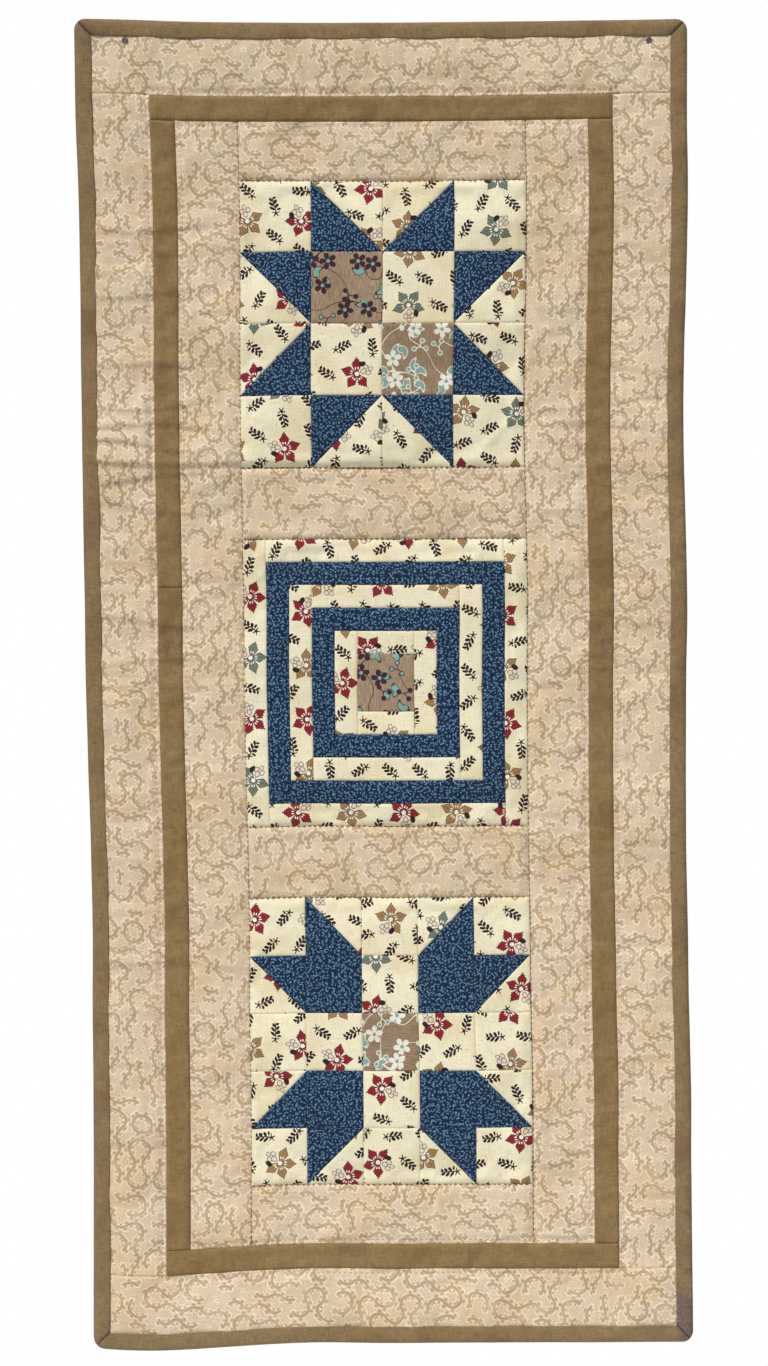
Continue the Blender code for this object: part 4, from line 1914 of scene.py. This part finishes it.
@dataclass
class Binding:
    """Four brown strips folded over the quilt's edge, mitred at the corners."""

    room: Workroom
    spacing: float = 0.0021
    mitre_drop: float = 0.0007
    mitre_reach: float = 0.0009
    pleat: float = 0.00035
    pleat_in: float = 0.0032
    pleat_reach: float = 0.002
    follows_face: float = 0.7
    rub: float = 0.14
    corner_rub: float = 0.35
    corner_rub_reach: float = 0.012

    def build(self) -> list[Piece]:
        """Build the four strips."""
        return [self.strip(side, number) for number, side in enumerate(Side)]

    def strip(self, side: Side, number: int) -> Piece:
        """Build one strip from a flat length of cloth.

        Args:
            side: the side of the quilt.
            number: its place in the order, which picks its cut of the cloth.

        Returns:
            The strip, folded and dressed.
        """
        line = self.room.lines
        left, right, top, bottom = line.binding_inner
        width = {
            Side.TOP: line.top - top,
            Side.RIGHT: line.right - right,
            Side.BOTTOM: bottom - line.bottom,
            Side.LEFT: left - line.left,
        }[side]
        section = BindingSection(width)
        points, walked = np.array(section.points()), np.array(section.walked())
        half = (line.wide if side.level else line.tall) / 2
        count, rows = round(2 * half / self.spacing), len(points) - 1
        name = f"binding_{side.value}_strip"
        if side.level:
            made = add_grid(name, -half, half, 0.0, 1.0, count, rows)
        else:
            made = add_grid(name, 0.0, 1.0, -half, half, rows, count)
        flat = read_points(made)
        along, across = (flat[:, 0], flat[:, 2]) if side.level else (flat[:, 2], flat[:, 0])
        share = across if side in (Side.TOP, Side.RIGHT) else 1 - across
        index = np.rint(share * rows).astype(int)
        inwards, depth = points[index, 0], points[index, 1]
        along = along * (1 - inwards / half)
        x, z = {
            Side.TOP: (along, line.top - inwards),
            Side.BOTTOM: (along, line.bottom + inwards),
            Side.LEFT: (line.left + inwards, along),
            Side.RIGHT: (line.right - inwards, along),
        }[side]
        front = np.clip((section.back - depth) / (section.back - section.front), 0, 1)
        end = half - inwards - np.abs(along)
        slack = SoftNoise(20 + number, 0.011, 0.011, 0.00022).at(x, z)
        slack = slack + SoftNoise(30 + number, 0.05, 0.05, 0.0003).at(x, z)
        out = self.room.relief.height(x, z) * self.follows_face + slack
        y = depth - out * front + self.mitre(end, side) * (front - (1 - front))
        placed_x, placed_z = self.room.hang.place(x, z)
        write_points(made, np.stack([placed_x, y, placed_z], axis=1))
        map_cloth(made, along + 0.31 * number, walked[index] + 0.07 * number)
        mark_wear(made, self.wear(end, np.clip(line.down(z), 0, 1), side))
        thicken(made, self.room.thickness)
        self.room.own(made, Cloth.BINDING, (f"binding_{side.value}",))
        size = (float(walked[-1]), 2 * half)
        area = size[0] * size[1] - size[0] * width
        LOG.info("%s, %.1f x %.1f mm of cloth", made.name, size[0] / MM, size[1] / MM)
        return made

    def mitre(self, end: Numbers, side: Side) -> Numbers:
        """How far the cloth sinks at its mitred ends, less the pleat that stands beside each.

        Args:
            end: metres from the mitre.
            side: the side of the quilt.

        Returns:
            Metres into the quilt.
        """
        seam = self.mitre_drop * np.exp(-((end / self.mitre_reach) ** 2))
        pleat = self.pleat * np.exp(-(((end - self.pleat_in) / self.pleat_reach) ** 2))
        return seam - pleat * (1 if side.level else -0.4)

    def wear(self, end: Numbers, down: Numbers, side: Side) -> Numbers:
        """Wear at the corners, a little all over, and most towards the right strip's lower end.

        Args:
            end: metres from the mitre.
            down: how far down the quilt, from 0 to 1.
            side: the side of the quilt.

        Returns:
            The wear, about 0 to 1.
        """
        lower_end = 0.42 * down**3 + 0.6 * np.exp(-(((1 - down) / 0.03) ** 4))
        corners = np.exp(-end / self.corner_rub_reach) * self.corner_rub
        return corners + (lower_end if side is Side.RIGHT else self.rub)


@dataclass
class Filling:
    """The cotton batting and the backing cloth behind the pieced face."""

    room: Workroom
    cell: float = 0.0036
    back_share: float = 0.3
    under_face: float = 0.0006
    most: float = 0.003
    in_backing: float = 0.0004
    flat_edge: float = 0.02
    fluff: SoftNoise = SoftNoise(41, 0.004, 0.004, 0.00012, 128)

    def build(self) -> list[Piece]:
        """Build the batting and the backing."""
        return [self.batting(), self.backing()]

    def batting(self) -> Piece:
        """The pad: as thick as its CAD solid, and raised where the face puffs out."""
        low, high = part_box("batting")
        made = self.plain_grid("batting_pad", low, high)
        bpy.ops.object.mode_set(mode="EDIT")
        bpy.ops.mesh.select_all(action="SELECT")
        thick = high.y - low.y
        bpy.ops.mesh.extrude_region_move(TRANSFORM_OT_translate={"value": (0.0, thick, 0.0)})
        bpy.ops.mesh.select_all(action="SELECT")
        bpy.ops.mesh.normals_make_consistent(inside=False)
        bpy.ops.object.mode_set(mode="OBJECT")
        flat = read_points(made)
        x, z = flat[:, 0], flat[:, 2]
        fluff = self.fluff.at(x, z)
        front = np.minimum(self.room.relief.height(x, z) * 0.9 - self.under_face + fluff, self.most)
        back = self.in_backing + fluff - self.behind(x, z)
        shift = np.where(flat[:, 1] < thick / 2, front, back)
        write_points(made, self.room.lay(flat, shift, low.y))
        pick(made)
        bpy.ops.object.shade_smooth()
        self.room.own(made, Cloth.BATTING, ("batting",))
        LOG.info("batting_pad, %.1f mm thick", thick / MM)
        return made

    def backing(self) -> Piece:
        """One plain sheet of calico, dimpled where the quilting pulls it in."""
        low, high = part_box("backing")
        made = self.plain_grid("backing_sheet", low, high)
        bpy.ops.object.mode_set(mode="EDIT")
        bpy.ops.mesh.select_all(action="SELECT")
        bpy.ops.mesh.flip_normals()
        bpy.ops.object.mode_set(mode="OBJECT")
        flat = read_points(made)
        map_cloth(made, flat[:, 0] + 0.5, flat[:, 2] + 0.5)
        write_points(made, self.room.lay(flat, -self.behind(flat[:, 0], flat[:, 2]), high.y))
        thicken(made, self.room.thickness)
        self.room.own(made, Cloth.BACKING, ("backing",))
        return made

    def behind(self, x: Numbers, z: Numbers) -> Numbers:
        """How far the back stands out towards the wall, where the binding doesn't hold it flat.

        Args:
            x, z: metres across and up the flat quilt.

        Returns:
            Metres from the flat back.
        """
        line = self.room.lines
        edge = np.minimum(line.right - np.abs(x), np.minimum(line.top - z, z - line.bottom))
        free = np.clip(edge / self.flat_edge - 0.4, 0, 1)
        return self.room.relief.height(x, z) * self.back_share * free - 0.0002

    def plain_grid(self, name: str, low: Vector, high: Vector) -> Piece:
        """A grid over the box of a CAD node, at the filling's own cell."""
        columns, rows = round((high.x - low.x) / self.cell), round((high.z - low.z) / self.cell)
        return add_grid(name, low.x, high.x, low.z, high.z, columns, rows)


@dataclass
class Stitching:
    """Running stitches of the hand quilting, front and back, and the slip stitches of the binding's hem."""

    room: Workroom
    filling: Filling
    pitch: float = STITCH_PITCH
    long: float = 0.0016
    thick: float = 0.0004
    sunk: float = 0.00005
    arch: float = 0.00012
    strays: Point = (0.00012, 0.00009)  # along and beside its line
    hem_gap: float = 1.6  # in pitches
    hem_in: float = 0.0002

    def build(self) -> list[Piece]:
        """Build the three sets of stitches."""
        return [
            self.sew("quilting_stitches_front", self.quilting(0.0), True),
            self.sew("quilting_stitches_back", self.quilting(0.5), False),
            self.sew("hem_stitches_back", self.hem(), False),
        ]

    def quilting(self, phase: float) -> Numbers:
        """Plan the running stitches.

        Args:
            phase: pitches further on, so that the back's stitches fall between the front's.

        Returns:
            Rows of x, z, direction and length.
        """
        draw = np.random.default_rng(7)
        rows = []
        for line in self.room.relief.stitch_lines():
            count = int((line.end - line.start) / self.pitch)
            jitter = draw.normal(0, 1, (count, 3))
            for number in range(count):
                along = line.start + (number + 0.5 + phase) * self.pitch + jitter[number, 0] * self.strays[0]
                aside = line.level + jitter[number, 1] * self.strays[1]
                length = self.long * (1 + 0.12 * jitter[number, 2])
                turn = (math.pi / 2 if line.upright else 0.0) + jitter[number, 2] * 0.04
                spot = (aside, along) if line.upright else (along, aside)
                rows.append((spot[0], spot[1], turn, length))
        return np.array(rows)

    def hem(self) -> Numbers:
        """Slanting stitches that hold the binding's back edge down, as rows like the quilting's."""
        left, right, top, bottom = self.room.lines.binding_inner
        gap, inside, long = self.pitch * self.hem_gap, self.hem_in, self.long
        rows = []
        for number in range(int((right - left) / gap)):
            x = left + (number + 0.5) * gap
            rows += [(x, top - inside, 1.2, long), (x, bottom + inside, 1.9, long)]
        for number in range(int((top - bottom) / gap)):
            z = bottom + (number + 0.5) * gap
            rows += [(left + inside, z, 0.4, long), (right - inside, z, 2.8, long)]
        return np.array(rows)

    def one_stitch(self) -> Piece:
        """A small bead of thread along x, one unit long and thick."""
        deselect()
        on_its_side = (0.0, math.pi / 2, 0.0)
        bpy.ops.mesh.primitive_uv_sphere_add(segments=8, ring_count=5, radius=0.5, rotation=on_its_side)
        made = bpy.context.object
        bpy.ops.object.transform_apply(location=True, rotation=True, scale=True)
        points = read_points(made)
        points[:, 0] = np.sign(points[:, 0]) * (2 * np.abs(points[:, 0])) ** 1.2 / 2
        write_points(made, points)
        return made

    def sew(self, name: str, stitches: Numbers, front: bool) -> Piece:
        """Copy the stitch to every place and join the copies into one piece of thread work.

        Args:
            name: the piece's name.
            stitches: rows of x, z, direction and length on the flat quilt.
            front: whether they lie on the face.

        Returns:
            The dressed piece.
        """
        pattern = self.one_stitch()
        bead = read_points(pattern)
        faces = [tuple(face.vertices) for face in pattern.data.polygons]
        x, z, turn, length = (stitches[:, column][:, None] for column in range(4))
        along = bead[None, :, 0] * length
        aside = bead[None, :, 2] * self.thick
        flat_x = x + along * np.cos(turn) - aside * np.sin(turn)
        flat_z = z + along * np.sin(turn) + aside * np.cos(turn)
        middle_x, middle_z = np.broadcast_to(x, flat_x.shape), np.broadcast_to(z, flat_z.shape)
        arch = (1 - (2 * bead[None, :, 0]) ** 2) * self.arch
        if front:
            ground = self.room.lines.front - self.room.relief.height(middle_x, middle_z) + self.sunk
            y = ground - arch + bead[None, :, 1] * self.thick
        else:
            ground = self.room.lines.back + self.filling.behind(middle_x, middle_z) - self.sunk
            y = ground + arch + bead[None, :, 1] * self.thick
        placed_x, placed_z = self.room.hang.place(flat_x.ravel(), flat_z.ravel())
        points = np.stack([placed_x, y.ravel(), placed_z], axis=1)
        mesh = bpy.data.meshes.new(name)
        starts = range(0, len(bead) * len(stitches), len(bead))
        copies = [tuple(corner + start for corner in face) for start in starts for face in faces]
        mesh.from_pydata(points.tolist(), [], copies)
        bpy.data.objects.remove(pattern)
        made = bpy.data.objects.new(name, mesh)
        bpy.context.scene.collection.objects.link(made)
        pick(made)
        bpy.ops.object.shade_smooth()
        self.room.own(made, Cloth.THREAD, ())
        LOG.info("%s, %d stitches", name, len(stitches))
        return made


@dataclass
class HangingPins:
    """The two pins that the quilt hangs by. Their CAD shapes stay, with a steel finish."""

    room: Workroom

    def build(self) -> list[Piece]:
        """Give both pins their finish."""
        pins = [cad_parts[f"hanging_pin_{side.value}"] for side in (Side.LEFT, Side.RIGHT)]
        for pin in pins:
            self.room.wardrobe.dress(pin, Cloth.STEEL)
            LOG.info("%s, CAD shape kept", pin.name)
        return pins


# The studio


@dataclass
class Studio:
    """Camera, soft light and pale floor."""

    distance: float = 1.62
    view_height: float = 0.7556
    sensor: float = 0.024
    face_depth: float = 0.007
    drop: float = 0.6
    aim: Place = (-0.0016, 0.0, 0.0)

    def camera(self) -> None:
        """Put the camera square in front of the quilt."""
        data = bpy.data.cameras.new("camera")
        data.sensor_fit = "VERTICAL"
        data.sensor_height = self.sensor / MM
        data.lens = self.sensor / MM * (self.distance - self.face_depth) / self.view_height
        camera = bpy.data.objects.new("camera", data)
        camera.location = (self.aim[0], -self.distance, self.aim[2])
        camera.rotation_euler = (math.pi / 2, 0.0, 0.0)
        bpy.context.scene.collection.objects.link(camera)
        bpy.context.scene.camera = camera

    def light(self, name: str, kind: str, place: Place, power: float, spread: float) -> None:
        """Add a light that looks at the quilt's middle.

        Args:
            name: the light's name.
            kind: AREA for a square lamp, SUN for a large far window.
            place: where it is.
            power: watts, or for a sun watts a square metre.
            spread: metres of side, or for a sun radians.
        """
        data = bpy.data.lights.new(name, kind)
        data.energy = power
        if kind == "AREA":
            data.shape = "SQUARE"
            data.size = spread
        else:
            data.angle = spread
        light = bpy.data.objects.new(name, data)
        light.location = place
        light.rotation_euler = (-Vector(place)).to_track_quat("-Z", "Y").to_euler()
        bpy.context.scene.collection.objects.link(light)

    def floor(self) -> None:
        """A pale floor some way below the quilt."""
        deselect()
        bpy.ops.mesh.primitive_circle_add(
            vertices=96, radius=1.0, fill_type="NGON", location=(0.0, 0.0, CAD_BOX[0][2] - self.drop)
        )
        floor = bpy.context.object
        floor.name = "floor"
        bench = MaterialBench("pale_floor")
        tone = bench.grain(3.0, 2.0)
        bench.feed(Base_Color=bench.blend(tone, rgb(243, 243, 242), rgb(250, 250, 250)), Roughness=0.9)
        floor.data.materials.append(bench.material)

    def sky(self) -> None:
        """A plain white surround, a little dimmer as light than as seen."""
        world = bpy.data.worlds.new("surround")
        bpy.context.scene.world = world
        world.use_nodes = True
        bench = NodeBench(world.node_tree)
        shade = world.node_tree.nodes["Background"]
        seen = Field(bench, bench.new("ShaderNodeLightPath").outputs["Is Camera Ray"])
        bench.join(seen * 0.75 + 0.25, shade.inputs["Strength"])
        shade.inputs["Color"].default_value = (1.0, 1.0, 1.0, 1.0)

    def build(self) -> None:
        """Set the stage."""
        scene = bpy.context.scene
        scene.view_settings.view_transform = "Standard"
        scene.view_settings.look = "None"
        self.camera()
        self.sky()
        self.light("key", "SUN", (-0.5, -1.0, 1.15), 2.85, 0.22)
        self.light("back_light", "SUN", (0.6, 1.0, 0.8), 2.2, 0.5)
        self.light("fill", "AREA", (1.6, -2.2, -0.3), 4.0, 1.8)
        self.floor()


def main() -> None:
    """Build the studio, then the quilt from its lines outwards."""
    logging.basicConfig(level=logging.INFO, format="%(message)s")
    Studio().build()
    lines = Lines.read()
    relief = Relief(lines)
    relief.simulate()
    room = Workroom(lines, Hang(lines), relief, Wardrobe())
    assemblies = (
        Strips(room, seed=3).plan(),
        StarBlock(room, seed=4, top=lines.block_tops[0]).plan(),
        StepsBlock(room, seed=5, top=lines.block_tops[1]).plan(),
        ArrowBlock(room, seed=6, top=lines.block_tops[2]).plan(),
    )
    for assembly in assemblies:
        made = assembly.build()
        LOG.info("%s: %d patches", type(assembly).__name__, len(made))
    filling = Filling(room)
    filling.build()
    Binding(room).build()
    Stitching(room, filling).build()
    HangingPins(room).build()


if __name__ == "__main__":
    main()
